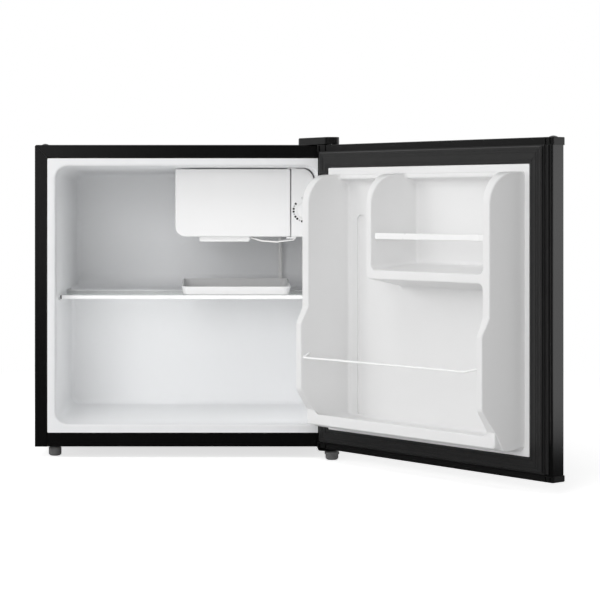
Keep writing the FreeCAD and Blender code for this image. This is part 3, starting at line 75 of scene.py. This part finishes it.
def make_lamp(name, place, aim, size, power):
    """A square soft box of size metres and power watts at place, facing aim. It lights matt faces only:
    what polished ones mirror is the world's."""
    lamp = bpy.data.lights.new(name, "AREA")
    lamp.shape, lamp.size, lamp.energy = "SQUARE", size, power
    holder = bpy.data.objects.new(name, lamp)
    holder.visible_glossy, holder.visible_camera = False, False
    holder.location = place
    holder.rotation_euler = (Vector(aim) - Vector(place)).to_track_quat("-Z", "Y").to_euler()
    bpy.context.scene.collection.objects.link(holder)


def light_stage():
    """A broad key from the front left, softer boxes above and to the left, and a weak one in the mouth
    of the cavity."""
    middle = (0.0, FRONT_Y, HALF_HEIGHT)
    mouth = (CABINET_X, FRONT_Y + 0.01, HALF_HEIGHT)
    into_cavity = (CABINET_X, 1.0, HALF_HEIGHT)
    door = (0.2, FRONT_Y - 0.3, HALF_HEIGHT)
    for lamp in (
            ("key", (CABINET_X - 1.0, FRONT_Y - 3.4, 0.75), middle, 1.5, 31.5),
            ("top", (CABINET_X - 0.4, FRONT_Y - 1.6, 2.2), middle, 1.6, 14.5),
            ("left", (CABINET_X - 2.6, FRONT_Y - 1.2, 1.3), middle, 1.6, 9.0),
            ("far_left", (CABINET_X - 2.4, FRONT_Y - 0.25, 1.1), door, 1.2, 16.7),
            ("cavity_fill", mouth, into_cavity, 0.38, 0.20)):
        make_lamp(*lamp)


# ---------------------------------------------------------------- shader maths

class Wire:
    """An output socket of a shader node; arithmetic on it adds Math nodes."""

    def __init__(self, finish, socket):
        self.finish, self.socket = finish, socket

    def maths(self, operation, *values):
        return self.finish.node("ShaderNodeMath", {"operation": operation}, dict(enumerate(values))).out()

    def __add__(self, other):
        return self.maths("ADD", self, other)

    def __sub__(self, other):
        return self.maths("SUBTRACT", self, other)

    def __rsub__(self, other):
        return self.maths("SUBTRACT", other, self)

    def __mul__(self, other):
        return self.maths("MULTIPLY", self, other)

    def clamped(self):
        return self.maths("MINIMUM", self.maths("MAXIMUM", self, 0.0), 1.0)


class Node:
    """A shader node and its finish; out() gives one of its outputs."""

    def __init__(self, finish, node):
        self.finish, self.node = finish, node

    def out(self, name=0):
        return Wire(self.finish, self.node.outputs[name])


class Finish:
    """A node-based material."""

    def __init__(self, name, tree=None):
        if tree is None:
            self.material = bpy.data.materials.new(name)
            self.material.use_nodes = True
            tree = self.material.node_tree
        self.tree = tree
        tree.nodes.clear()

    def node(self, kind, settings=None, sockets=None, stops=None):
        """Adds a node: its settings, then a ramp's stops, then values or links for its sockets."""
        made = self.tree.nodes.new(kind)
        for key, value in (settings or {}).items():
            setattr(made, key, value)
        if stops:
            ramp = made.color_ramp.elements
            while len(ramp) < len(stops):
                ramp.new(0.5)
            for element, (place, tone) in zip(ramp, stops):
                element.position = place
                element.color = (tone, tone, tone, 1.0)
        for key, value in (sockets or {}).items():
            if isinstance(value, Wire):
                self.tree.links.new(value.socket, made.inputs[key])
            else:
                made.inputs[key].default_value = value
        return Node(self, made)

    def place(self, scale=(1.0, 1.0, 1.0)):
        """The object's own coordinates, stretched by scale."""
        where = self.node("ShaderNodeTexCoord").out("Object")
        return self.node("ShaderNodeMapping", None, {"Vector": where, "Scale": scale}).out()

    def noise(self, grain, detail=2.0, rough=0.5, stretch=(1.0, 1.0, 1.0)):
        """Noise from 0 to 1 whose lumps are about grain metres across."""
        return self.node("ShaderNodeTexNoise", None, {
            "Vector": self.place(stretch), "Scale": 1 / grain,
            "Detail": detail, "Roughness": rough}).out("Fac")

    def ramp(self, value, low, high):
        """0 below low and 1 above high."""
        return self.node("ShaderNodeMapRange", None, {
            "Value": value, "From Min": low, "From Max": high}).out()

    def mix(self, share, first, second):
        """A colour between first and second; each is a colour or a link."""
        sockets = {0: share, 6: first, 7: second}
        return self.node("ShaderNodeMix", {"data_type": "RGBA"}, sockets).out(2)

    def bump(self, height, depth, strength=1.0, under=None):
        """A normal from a height of 0 to 1 that stands depth metres proud."""
        sockets = {"Height": height, "Distance": depth, "Strength": strength}
        if under is not None:
            sockets["Normal"] = under
        return self.node("ShaderNodeBump", None, sockets).out()

    def surface(self, **sockets):
        """Ends the material in a Principled BSDF; a socket's name has _ for each space."""
        named = {key.replace("_", " "): value for key, value in sockets.items()}
        shader = self.node("ShaderNodeBsdfPrincipled", None, named)
        self.node("ShaderNodeOutputMaterial", None, {"Surface": shader.out()})
        return self.material


def grey(tone, tint=(1.0, 1.0, 1.0)):
    """A colour from a tone and a slight tint."""
    return (tone * tint[0], tone * tint[1], tone * tint[2], 1.0)


# ---------------------------------------------------------------- finishes

def coated_steel(tone, roughness):
    """Black coil-coated sheet: a faint orange peel, a few dull patches and fine dust."""
    finish = Finish("coated_steel")
    patches = finish.noise(0.09, 3.0)
    dust = finish.ramp(finish.noise(0.0011, 4.0, 0.7), 0.58, 0.80)
    colour = finish.mix(dust * 0.03, grey(tone), grey(0.10))
    peel = finish.noise(0.0022, 2.0)
    return finish.surface(
        Base_Color=colour, Roughness=patches * 0.08 + (roughness - 0.04) + dust * 0.1,
        Specular_IOR_Level=0.4, Normal=finish.bump(peel, 0.00006, 0.35))


def galvanised_sheet(tone):
    """Zinc-coated sheet: angular spangle and dull streaks."""
    finish = Finish("galvanised_sheet")
    spangle = finish.node("ShaderNodeTexVoronoi", None, {
        "Vector": finish.place(), "Scale": 1 / 0.006, "Randomness": 1.0}).out("Color")
    level = finish.node("ShaderNodeSeparateColor", None, {"Color": spangle}).out(0)
    streaks = finish.noise(0.03, 4.0, 0.6, (1.0, 1.0, 0.25))
    dark, light = grey(tone * 0.85), grey(tone * 1.15, (0.98, 1.0, 1.03))
    colour = finish.mix(level * 0.35 + streaks * 0.3, dark, light)
    return finish.surface(
        Base_Color=colour, Metallic=0.85, Roughness=level * 0.12 + streaks * 0.12 + 0.30,
        Normal=finish.bump(streaks, 0.0002, 0.2))


def formed_plastic(name, tone, roughness, tint=(1.0, 1.0, 1.0), wave=0.00012):
    """White sheet plastic: a soft waviness from forming, wave metres high, with fine pores and faint
    clouding."""
    finish = Finish(name)
    clouds = finish.noise(0.05, 3.0)
    pores = finish.noise(0.0009, 3.0, 0.6)
    colour = finish.mix(clouds * 0.5, grey(tone, tint), grey(tone * 0.975, tint))
    waves = finish.bump(finish.noise(0.028, 2.0), wave, 0.35)
    return finish.surface(
        Base_Color=colour, Roughness=clouds * 0.06 + (roughness - 0.03), Specular_IOR_Level=0.45,
        Normal=finish.bump(pores, 0.00002, 0.3, waves))


def moulded_plastic(name, tone, roughness):
    """Moulded plastic with a spark-eroded grain."""
    finish = Finish(name)
    grains = finish.noise(0.0006, 3.0, 0.6)
    smears = finish.noise(0.04, 4.0, 0.6)
    colour = finish.mix(smears * 0.6, grey(tone), grey(tone * 1.12))
    return finish.surface(
        Base_Color=colour, Roughness=smears * 0.10 + (roughness - 0.05),
        Specular_IOR_Level=0.3, Normal=finish.bump(grains, 0.00003, 0.5))


def soft_vinyl(name, tone):
    """Dark vinyl or rubber extrusion: matt, with a faint bloom and drag lines."""
    finish = Finish(name)
    bloom = finish.noise(0.02, 4.0, 0.65)
    lines = finish.noise(0.0015, 2.0, 0.5)
    colour = finish.mix(bloom * 0.7, grey(tone), grey(tone * 1.5))
    return finish.surface(
        Base_Color=colour, Roughness=bloom * 0.12 + 0.30, Specular_IOR_Level=0.45,
        Normal=finish.bump(lines, 0.00005, 0.4))


def clear_glass():
    """Clear toughened glass, faintly green, with dust on it. The plain veil mixed in lets light through
    to what stands below."""
    finish = Finish("clear_glass")
    dust = finish.ramp(finish.noise(0.004, 5.0, 0.7), 0.55, 0.85)
    glass = finish.node("ShaderNodeBsdfPrincipled", None, {
        "Base Color": (0.96, 0.975, 0.97, 1.0), "Roughness": dust * 0.05 + 0.02,
        "Transmission Weight": 1.0, "IOR": 1.5})
    veil = finish.node("ShaderNodeBsdfTransparent", None, {"Color": (0.97, 0.98, 0.975, 1.0)})
    veil_share = 0.8
    mixed = finish.node("ShaderNodeMixShader", None, {0: veil_share, 1: glass.out(), 2: veil.out()})
    finish.node("ShaderNodeOutputMaterial", None, {"Surface": mixed.out()})
    return finish.material


def bare_metal(name, colour, roughness, streak=(1.0, 1.0, 1.0), tarnish=0.25):
    """Drawn or plated metal: fine drag lines and a little tarnish."""
    finish = Finish(name)
    lines = finish.noise(0.0008, 3.0, 0.6, streak)
    dull = finish.noise(0.012, 4.0, 0.6)
    dark = tuple(c * 0.55 for c in colour)
    mixed = finish.mix(finish.ramp(dull, 0.45, 0.8) * tarnish, (*colour, 1.0), (*dark, 1.0))
    return finish.surface(
        Base_Color=mixed, Metallic=1.0, Roughness=dull * 0.18 + lines * 0.08 + (roughness - 0.12),
        Normal=finish.bump(lines, 0.00003, 0.3))


def black_enamel():
    """Baked black enamel with slight runs."""
    finish = Finish("black_enamel")
    runs = finish.noise(0.012, 3.0, 0.5, (1.0, 1.0, 0.4))
    return finish.surface(
        Base_Color=finish.mix(runs, grey(0.012), grey(0.022)), Roughness=runs * 0.15 + 0.22,
        Coat_Weight=0.3, Normal=finish.bump(runs, 0.0004, 0.3))


def rigid_foam():
    """Rigid foam: closed cells and a tan skin."""
    finish = Finish("rigid_foam")
    cells = finish.noise(0.0008, 4.0, 0.7)
    return finish.surface(
        Base_Color=finish.mix(cells, (0.62, 0.50, 0.24, 1.0), (0.80, 0.70, 0.42, 1.0)),
        Roughness=cells * 0.1 + 0.85, Normal=finish.bump(cells, 0.0003, 0.6))


def make_finishes():
    """Every finish by the name of the record's material slot."""
    return {
        "cabinet_paint": coated_steel(0.003, 0.20),
        "plated_steel": bare_metal("zinc_plate", (0.55, 0.56, 0.58), 0.34),
        "galvanised_sheet": galvanised_sheet(0.42),
        "foam": rigid_foam(),
        # Both liners are one white: the cavity's copy is set lighter, painted light, and the door's darker,
        # painted shade.
        "liner_white": formed_plastic("cavity_sheet_painted_light", 0.945, 0.34, (0.985, 0.99, 1.0)),
        "door_white": formed_plastic("door_sheet_painted_shade", 0.82, 0.34),
        "flap_white": formed_plastic("flap_plastic", 0.76, 0.30, wave=0.00005),
        "white_plastic": formed_plastic("white_moulding", 0.90, 0.28, wave=0.00003),
        "black_plastic": moulded_plastic("black_moulding", 0.006, 0.36),
        "foot_plastic": moulded_plastic("grey_moulding", 0.19, 0.40),
        "aluminium": bare_metal("rolled_aluminium", (0.80, 0.81, 0.82), 0.36, (1.0, 12.0, 1.0)),
        "sleeve_clear": formed_plastic("sleeving", 0.96, 0.25, (1.0, 0.99, 0.98)),
        "glass": clear_glass(),
        "rubber": soft_vinyl("black_rubber", 0.02),
        "compressor_black": black_enamel(),
        "copper": bare_metal("copper_tube", (0.80, 0.42, 0.26), 0.30, tarnish=0.5),
        "gasket": soft_vinyl("soft_vinyl", 0.018),
        "magnet": soft_vinyl("ferrite_strip", 0.03),
        "wire_white": formed_plastic("coated_wire", 0.96, 0.22),
        "scale_ink": moulded_plastic("scale_ink", 0.006, 0.5),
        "scale_ink_pale": moulded_plastic("scale_ink_pale", 0.42, 0.5),
    }


def dress_nodes(finishes):
    """Puts the slot's finish on every CAD node, or its own where whites differ, and on the door liner a darker
    copy of the liner's white, painted shade.
    """
    own = {"door_liner": "door_white", "drip_tray": "flap_white",
           "thermostat_housing": "flap_white", "thermostat_knob": "flap_white"}
    for part in frame["record"]["subparts"]:
        slot = own.get(part["node"], part["material_slot"])
        mesh = frame["nodes"][part["node"]].data
        mesh.materials.clear()
        mesh.materials.append(finishes[slot])


# ---------------------------------------------------------------- surfaces

def solid_from(name, grids, finish, body):
    """One mesh of closed surfaces, each a grid of points whose seams and poles are welded."""
    corners, quads, start = [], [], 0
    for grid in grids:
        rows, columns = grid.shape[:2]
        index = np.arange(rows * columns).reshape(rows, columns) + start
        around = [index[:-1, :-1], index[:-1, 1:], index[1:, 1:], index[1:, :-1]]
        quads.append(np.stack(around, -1).reshape(-1, 4))
        corners.append(grid.reshape(-1, 3))
        start += rows * columns
    mesh = bpy.data.meshes.new(name)
    mesh.from_pydata(np.concatenate(corners).tolist(), [], np.concatenate(quads).tolist())
    shape = bmesh.new()
    shape.from_mesh(mesh)
    bmesh.ops.remove_doubles(shape, verts=shape.verts, dist=1e-6)
    bmesh.ops.recalc_face_normals(shape, faces=shape.faces)
    shape.to_mesh(mesh)
    shape.free()
    mesh.shade_smooth()
    mesh.materials.append(finish)
    piece = bpy.data.objects.new(name, mesh)
    bpy.context.scene.collection.objects.link(piece)
    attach(piece, body)


def along(path, side, out, width, height, turns=10):
    """A stroke carried along a path: each cross-section is an ellipse, of the width along side and
    standing height either way along out. Both shrink to nothing at the ends as the root of 1 - t^6."""
    rows = len(path)
    share = np.linspace(-1, 1, rows)
    swell = np.sqrt(np.clip(1 - share ** 6, 0, 1))[:, None, None]
    angle = np.linspace(0, 2 * math.pi, turns + 1)[None, :, None]
    across = np.broadcast_to(np.asarray(side, float).reshape(-1, 3)[:, None, :], (rows, 1, 3))
    up = np.asarray(out, float)[None, None, :]
    return path[:, None, :] + swell * (np.cos(angle) * across * width / 2 + np.sin(angle) * up * height)


def screw_head(place, out, side, radius, height):
    """A pan head: height times the fourth root of 1 - r^4 over the radius, less a cross-shaped hollow
    where the smaller of |x| and |y| is under an arm's half width."""
    arm, arm_slope, cross_reach, reach_slope, deep = 0.16, 0.06, 0.58, 0.10, 0.6
    out, side = np.asarray(out, float), np.asarray(side, float)
    other = np.cross(out, side)
    angle, reach = np.meshgrid(np.linspace(0, 2 * math.pi, 41), np.linspace(0, 1, 15))
    x, y = reach * np.cos(angle), reach * np.sin(angle)
    narrow, wide = np.minimum(np.abs(x), np.abs(y)), np.maximum(np.abs(x), np.abs(y))
    hollow = (np.clip((arm - narrow) / arm_slope, 0, 1)
              * np.clip((cross_reach - wide) / reach_slope, 0, 1))
    rise = np.power(np.clip(1 - reach ** 4, 0, 1), 0.25) - deep * hollow
    x, y, rise = x[..., None] * radius, y[..., None] * radius, rise[..., None] * height
    return np.asarray(place, float) + x * side + y * other + rise * out


def pillow(low, high, power):
    """A box with swollen sides between two corners: a superellipsoid, whose sines and cosines are
    raised to a small power."""
    low, high = np.asarray(low, float), np.asarray(high, float)
    rise, circuit = np.linspace(-math.pi / 2, math.pi / 2, 13), np.linspace(0, 2 * math.pi, 25)
    lift, turn = np.meshgrid(rise, circuit)

    def bent(wave):
        return np.sign(wave) * np.abs(wave) ** power
    ball = np.stack([bent(np.cos(lift)) * bent(np.cos(turn)), bent(np.cos(lift)) * bent(np.sin(turn)),
                     bent(np.sin(lift))], -1)
    return (low + high) / 2 + ball * (high - low) / 2


# ---------------------------------------------------------------- trim and the pocket's lip

def dial_scale(finishes):
    """The printed arc of dashes round the thermostat's dial, two bold to each pale one, and its zero:
    strokes along arcs of a circle, and a ring of 0.3 mm swept round an upright oval."""
    ring_radius, dashes, first, step, half_dash = 17.7 * MM, 19, 143.5, 14.1, 5.6
    bold_width, pale_width, film = 3.4 * MM, 2.6 * MM, 0.12 * MM
    zero_radius, zero_stretch, zero_line, zero_at = 1.15 * MM, 1.25, 0.3 * MM, (-3.9, 0, 19.8)
    low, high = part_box("thermostat_knob")
    middle = np.array([(low.x + high.x) / 2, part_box("thermostat_housing")[0].y, (low.z + high.z) / 2])

    def arc(radius, first, last, points, stretch=1.0):
        turn = np.radians(np.linspace(first, last, points))
        spoke = np.stack([np.cos(turn), np.zeros(points), np.sin(turn)], -1)
        return middle + spoke * radius * (1.0, 1.0, stretch), spoke
    bold, pale = [], []
    for index in range(dashes):
        centre = first + index * step
        strokes, width = (pale, pale_width) if index % 3 == 1 else (bold, bold_width)
        path, spoke = arc(ring_radius, centre - half_dash, centre + half_dash, 13)
        strokes.append(along(path, spoke, (0, -1, 0), width, film))
    path, spoke = arc(zero_radius, 0, 360, 25, zero_stretch)
    zero = path + np.array(zero_at) * MM
    ring = np.linspace(0, 2 * math.pi, 9)[None, :, None]
    round_line = np.cos(ring) * spoke[:, None, :] + np.sin(ring) * np.array([0, -0.4, 0])
    zero = zero[:, None, :] + zero_line * round_line
    solid_from("dial_scale_bold", bold, finishes["scale_ink"], "cabinet")
    solid_from("dial_scale_pale", pale + [zero], finishes["scale_ink_pale"], "cabinet")


def door_point(along_door, proud, height):
    """Places on the door's inner side at rest: along_door runs from its hinge edge to its free edge and
    proud stands off its inner face, both in millimetres, as height is."""
    hinge = next(joint for joint in frame["joints"] if joint["name"] == "door_hinge")
    turn = math.radians(hinge["range_deg"][0])
    run = np.array([-math.cos(turn), math.sin(turn), 0])
    off = np.array([math.sin(turn), math.cos(turn), 0])
    parts = np.broadcast_arrays(along_door, proud, height)
    reach, stand, level = (part[..., None] * MM for part in parts)
    start = np.array([*hinge["pos_m"][:2], 0])
    return start + (reach - HINGE_INSET) * run + (stand + PANEL_HALF) * off + level * np.array([0, 0, 1])


def rounded_run(corners, radius, points):
    """A line through corners with a quarter turn of a radius at each inner one, as evenly numbered
    points: (side, up) pairs."""
    corners = np.asarray(corners, float)
    line = [corners[0][None]]
    for before, corner, after in zip(corners, corners[1:], corners[2:]):
        back = (before - corner) / np.linalg.norm(before - corner)
        ahead = (after - corner) / np.linalg.norm(after - corner)
        turn = np.linspace(0, math.pi / 2, points)[:, None]
        centre = corner + (back + ahead) * radius
        line.append(centre - radius * (ahead * np.cos(turn) + back * np.sin(turn)))
    line.append(corners[-1][None])
    return np.concatenate(line)


def bent_profile(width, depth, outer_round, inner_round, points):
    """A rounded front from its outer side to its inner one, as shares of width and depth: a quarter
    circle at each corner and closely set points beside it, so that its flats stay flat."""
    beside = 0.4
    turn = np.linspace(0, math.pi / 2, points)
    far = width - inner_round
    across = np.concatenate([[0, 0], outer_round * (1 - np.cos(turn)),
                             [outer_round + beside, far - beside],
                             far + inner_round * np.sin(turn), [width, width]])
    behind = np.concatenate([[depth, outer_round + beside], outer_round * (1 - np.sin(turn)), [0, 0],
                             inner_round * (1 - np.cos(turn)), [inner_round + beside, depth]])
    return across / width, behind / depth


def pocket_lip(finishes):
    """The front lip of the door's lower pocket, in one bend with the foot of either fin: a rounded
    profile carried between an outer and an inner line, both drafted towards the door. Lengths are in
    millimetres, as in door_point."""
    front, back, low, top, ends_at = 60.4, 38.0, 64.6, 82.0, 98
    outer_hinge, outer_free, outer_bend = 42.9, 422.6, 6.0
    inner_hinge, inner_free, inner_bend = 58.0, 407.2, 10.0
    outer_low, inner_low, half_way = 76, 94, 230
    rim, outer_round, inner_round = 15.2, 1.8, 3.8
    outer_drop, inner_drop = 4.2, 14.0
    outer_drift, inner_drift = (3.0, -1.1), (2.2, -2.2)  # on the free side, then on the hinge side
    outer = rounded_run([(outer_hinge, ends_at), (outer_hinge, low), (outer_free, low),
                         (outer_free, ends_at)], outer_bend, 9)
    inner = rounded_run([(inner_hinge, ends_at), (inner_hinge, top), (inner_free, top),
                         (inner_free, ends_at)], inner_bend, 9)
    profile = bent_profile(rim, front - back, outer_round, inner_round, 7)
    across, behind = (part[None, :] for part in profile)
    depth = front - behind * (front - back)
    level = ((outer[:, 1] < outer_low) & (inner[:, 1] < inner_low))[:, None]
    free_side = (outer[:, 0] > half_way)[:, None]
    z_outer = outer[:, 1][:, None] - behind * outer_drop * level
    z_inner = inner[:, 1][:, None] - behind * inner_drop * level
    u_outer = outer[:, 0][:, None] + behind * np.where(free_side, *outer_drift)
    u_inner = inner[:, 0][:, None] + behind * np.where(free_side, *inner_drift)
    grid = door_point(u_outer + (u_inner - u_outer) * across, depth + 0 * u_outer,
                      z_outer + (z_inner - z_outer) * across)
    ends = [np.broadcast_to(grid[row].mean(0), grid[row].shape)[None] for row in (0, -1)]
    # The lip takes the door liner's darker white, which is painted shade.
    solid_from("pocket_front_lip", [np.concatenate([ends[0], grid, ends[1]])], finishes["door_white"],
               "door")


def mitre_edges(finishes):
    """The bright cut edges that show in the mitres of the cabinet's front flange: thin strokes."""
    width, height, sunk = 0.7 * MM, 0.3 * MM, 0.35 * MM
    steel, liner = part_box("outer_wrapper"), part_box("inner_liner")
    strips = []
    for outer, inner in ((steel[0].x, liner[0].x), (steel[1].x, liner[1].x)):
        start = np.array([outer, FRONT_Y, steel[1].z])
        end = np.array([inner, FRONT_Y, liner[1].z])
        run = (end - start) / np.linalg.norm(end - start)
        share = np.linspace(0.06, 0.99, 24)[:, None]
        path = start + (end - start) * share + (0, sunk, 0)
        strips.append(along(path, np.cross(run, (0, 1, 0)), (0, -1, 0), width, height, 8))
    solid_from("wrapper_mitre_edges", strips, finishes["plated_steel"], "cabinet")


def shelf_trim_shadow_caps(finishes):
    """Small caps in black rubber on the ends of the shelf's front trim, standing for the dark shadow gap there, a
    painted shadow: swollen boxes.
    """
    inside, outside = 1.4 * MM, 0.9 * MM
    low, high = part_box("shelf_front_trim")
    caps = []
    for left, right in ((low.x - outside, low.x + inside), (high.x - inside, high.x + outside)):
        caps.append(pillow((left, low.y - 0.4 * MM, low.z - 0.1 * MM),
                           (right, high.y - 2 * MM, high.z + 0.3 * MM), 0.3))
    solid_from("shelf_trim_shadow_caps", caps, finishes["rubber"], "shelf")


def rear_screws(finishes):
    """Screws round the rear panel: pan heads."""
    inset, radius, height = 7 * MM, 3.4 * MM, 1.4 * MM
    low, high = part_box("rear_panel")
    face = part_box("outer_wrapper")[1].y
    across = np.linspace(low.x + inset, high.x - inset, 5)
    up = np.linspace(low.z + inset, high.z - inset, 4)
    places = [(x, face, z) for x in across for z in (up[0], up[-1])]
    places += [(x, face, z) for x in (across[0], across[-1]) for z in up[1:-1]]
    heads = [screw_head(place, (0, 1, 0), (1, 0, 0), radius, height) for place in places]
    solid_from("rear_panel_screws", heads, finishes["plated_steel"], "cabinet")


def bracket_screws(finishes):
    """Two screws under the lower hinge bracket, at its holes: pan heads."""
    radius, height = 4.6 * MM, 2.2 * MM
    low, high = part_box("bottom_hinge_bracket")
    x = (low.x + high.x) / 2 + 0.3 * MM
    heads = [screw_head((x, FRONT_Y + y * MM, low.z), (0, 0, -1), (1, 0, 0), radius, height)
             for y in (24, 46)]
    solid_from("lower_bracket_screws", heads, finishes["plated_steel"], "cabinet")


# ---------------------------------------------------------------- stage

def make_world():
    """White to the eye and an even light for matt faces. A glossy face mirrors a white sweep behind, a
    dim ceiling, two bright strips level with the object and a dim room."""
    room_light, dim_room = 0.31, 0.03
    sweep_bright, ceiling_bright, left_bright, right_bright = 0.95, 0.12, 1.4, 1.8
    world = bpy.data.worlds.new("studio")
    world.use_nodes = True
    bpy.context.scene.world = world
    air = Finish("studio", world.node_tree)
    path = air.node("ShaderNodeLightPath")
    seen = (path.out("Is Camera Ray") + path.out("Is Transmission Ray")).clamped()
    mirrored = path.out("Is Glossy Ray")
    towards = air.node("ShaderNodeTexCoord").out("Generated")
    split = air.node("ShaderNodeSeparateXYZ", None, {"Vector": towards})
    behind = air.ramp(split.out("Y"), -0.25, 0.40) * sweep_bright
    above = air.ramp(split.out("Z"), 0.3, 0.8) * ceiling_bright
    level = air.ramp(split.out("Z"), 0.12, 0.03)
    left = air.ramp(split.out("X"), -0.06, -0.095) * air.ramp(split.out("Y"), -0.8, -0.95)
    right = air.ramp(split.out("X"), 0.7, 0.9)
    gloss = behind + above + level * (left * left_bright + right * right_bright) + dim_room
    room = mirrored * gloss + (1.0 - mirrored) * room_light
    strength = seen + (1.0 - seen) * room
    sky = air.node("ShaderNodeBackground", None, {"Color": grey(1.0), "Strength": strength})
    air.node("ShaderNodeOutputWorld", None, {"Surface": sky.out()})


def make_floor():
    """A plain white floor that keeps the object's shadow, and runs out into the white sweep. It glows
    to the eye, and a glossy face mirrors it as nearly black, with a bright card to the right."""
    half, glow, dim_floor, card_bright = 12.0, 0.70, 0.03, 1.7
    corners = [(-half, -half, 0), (half, -half, 0), (half, half, 0), (-half, half, 0)]
    mesh = bpy.data.meshes.new("floor")
    mesh.from_pydata(corners, [], [(0, 1, 2, 3)])
    floor = bpy.data.objects.new("floor", mesh)
    bpy.context.scene.collection.objects.link(floor)
    finish = Finish("floor_white")
    path = finish.node("ShaderNodeLightPath")
    glossy = path.out("Is Glossy Ray")
    seen = (path.out("Is Camera Ray") + glossy + path.out("Is Transmission Ray")).clamped()
    where = finish.place()
    split = finish.node("ShaderNodeSeparateXYZ", None, {"Vector": where})
    spread = finish.node("ShaderNodeVectorMath", {"operation": "LENGTH"}, {0: where}).out("Value")
    far = finish.ramp(spread, 0.7, 1.6) * seen
    matt = finish.node("ShaderNodeBsdfDiffuse", None, {"Color": grey(0.90)})
    lift = finish.node("ShaderNodeEmission", None, {"Color": grey(1.0), "Strength": seen * glow})
    near = finish.node("ShaderNodeAddShader", None, {0: matt.out(), 1: lift.out()})
    white = finish.node("ShaderNodeEmission", None, {"Color": grey(1.0), "Strength": 1.0})
    sweep = finish.node("ShaderNodeMixShader", None, {0: far, 1: near.out(), 2: white.out()})
    ahead = finish.ramp(split.out("Y"), FRONT_Y + 0.1, FRONT_Y - 0.1)
    mirrored = (ahead * 0.1 + 0.9) * glossy
    card = finish.ramp(split.out("X"), 0.8, 1.2)
    strength = card * card_bright + dim_floor
    dim = finish.node("ShaderNodeEmission", None, {"Color": grey(1.0), "Strength": strength})
    both = finish.node("ShaderNodeMixShader", None, {0: mirrored, 1: sweep.out(), 2: dim.out()})
    finish.node("ShaderNodeOutputMaterial", None, {"Surface": both.out()})
    mesh.materials.append(finish.material)


bpy.context.scene.view_settings.view_transform = "Standard"
make_camera()
light_stage()
make_world()
make_floor()
finishes = make_finishes()
dress_nodes(finishes)
for make_trim in (dial_scale, pocket_lip, mitre_edges, shelf_trim_shadow_caps, rear_screws, bracket_screws):
    make_trim(finishes)
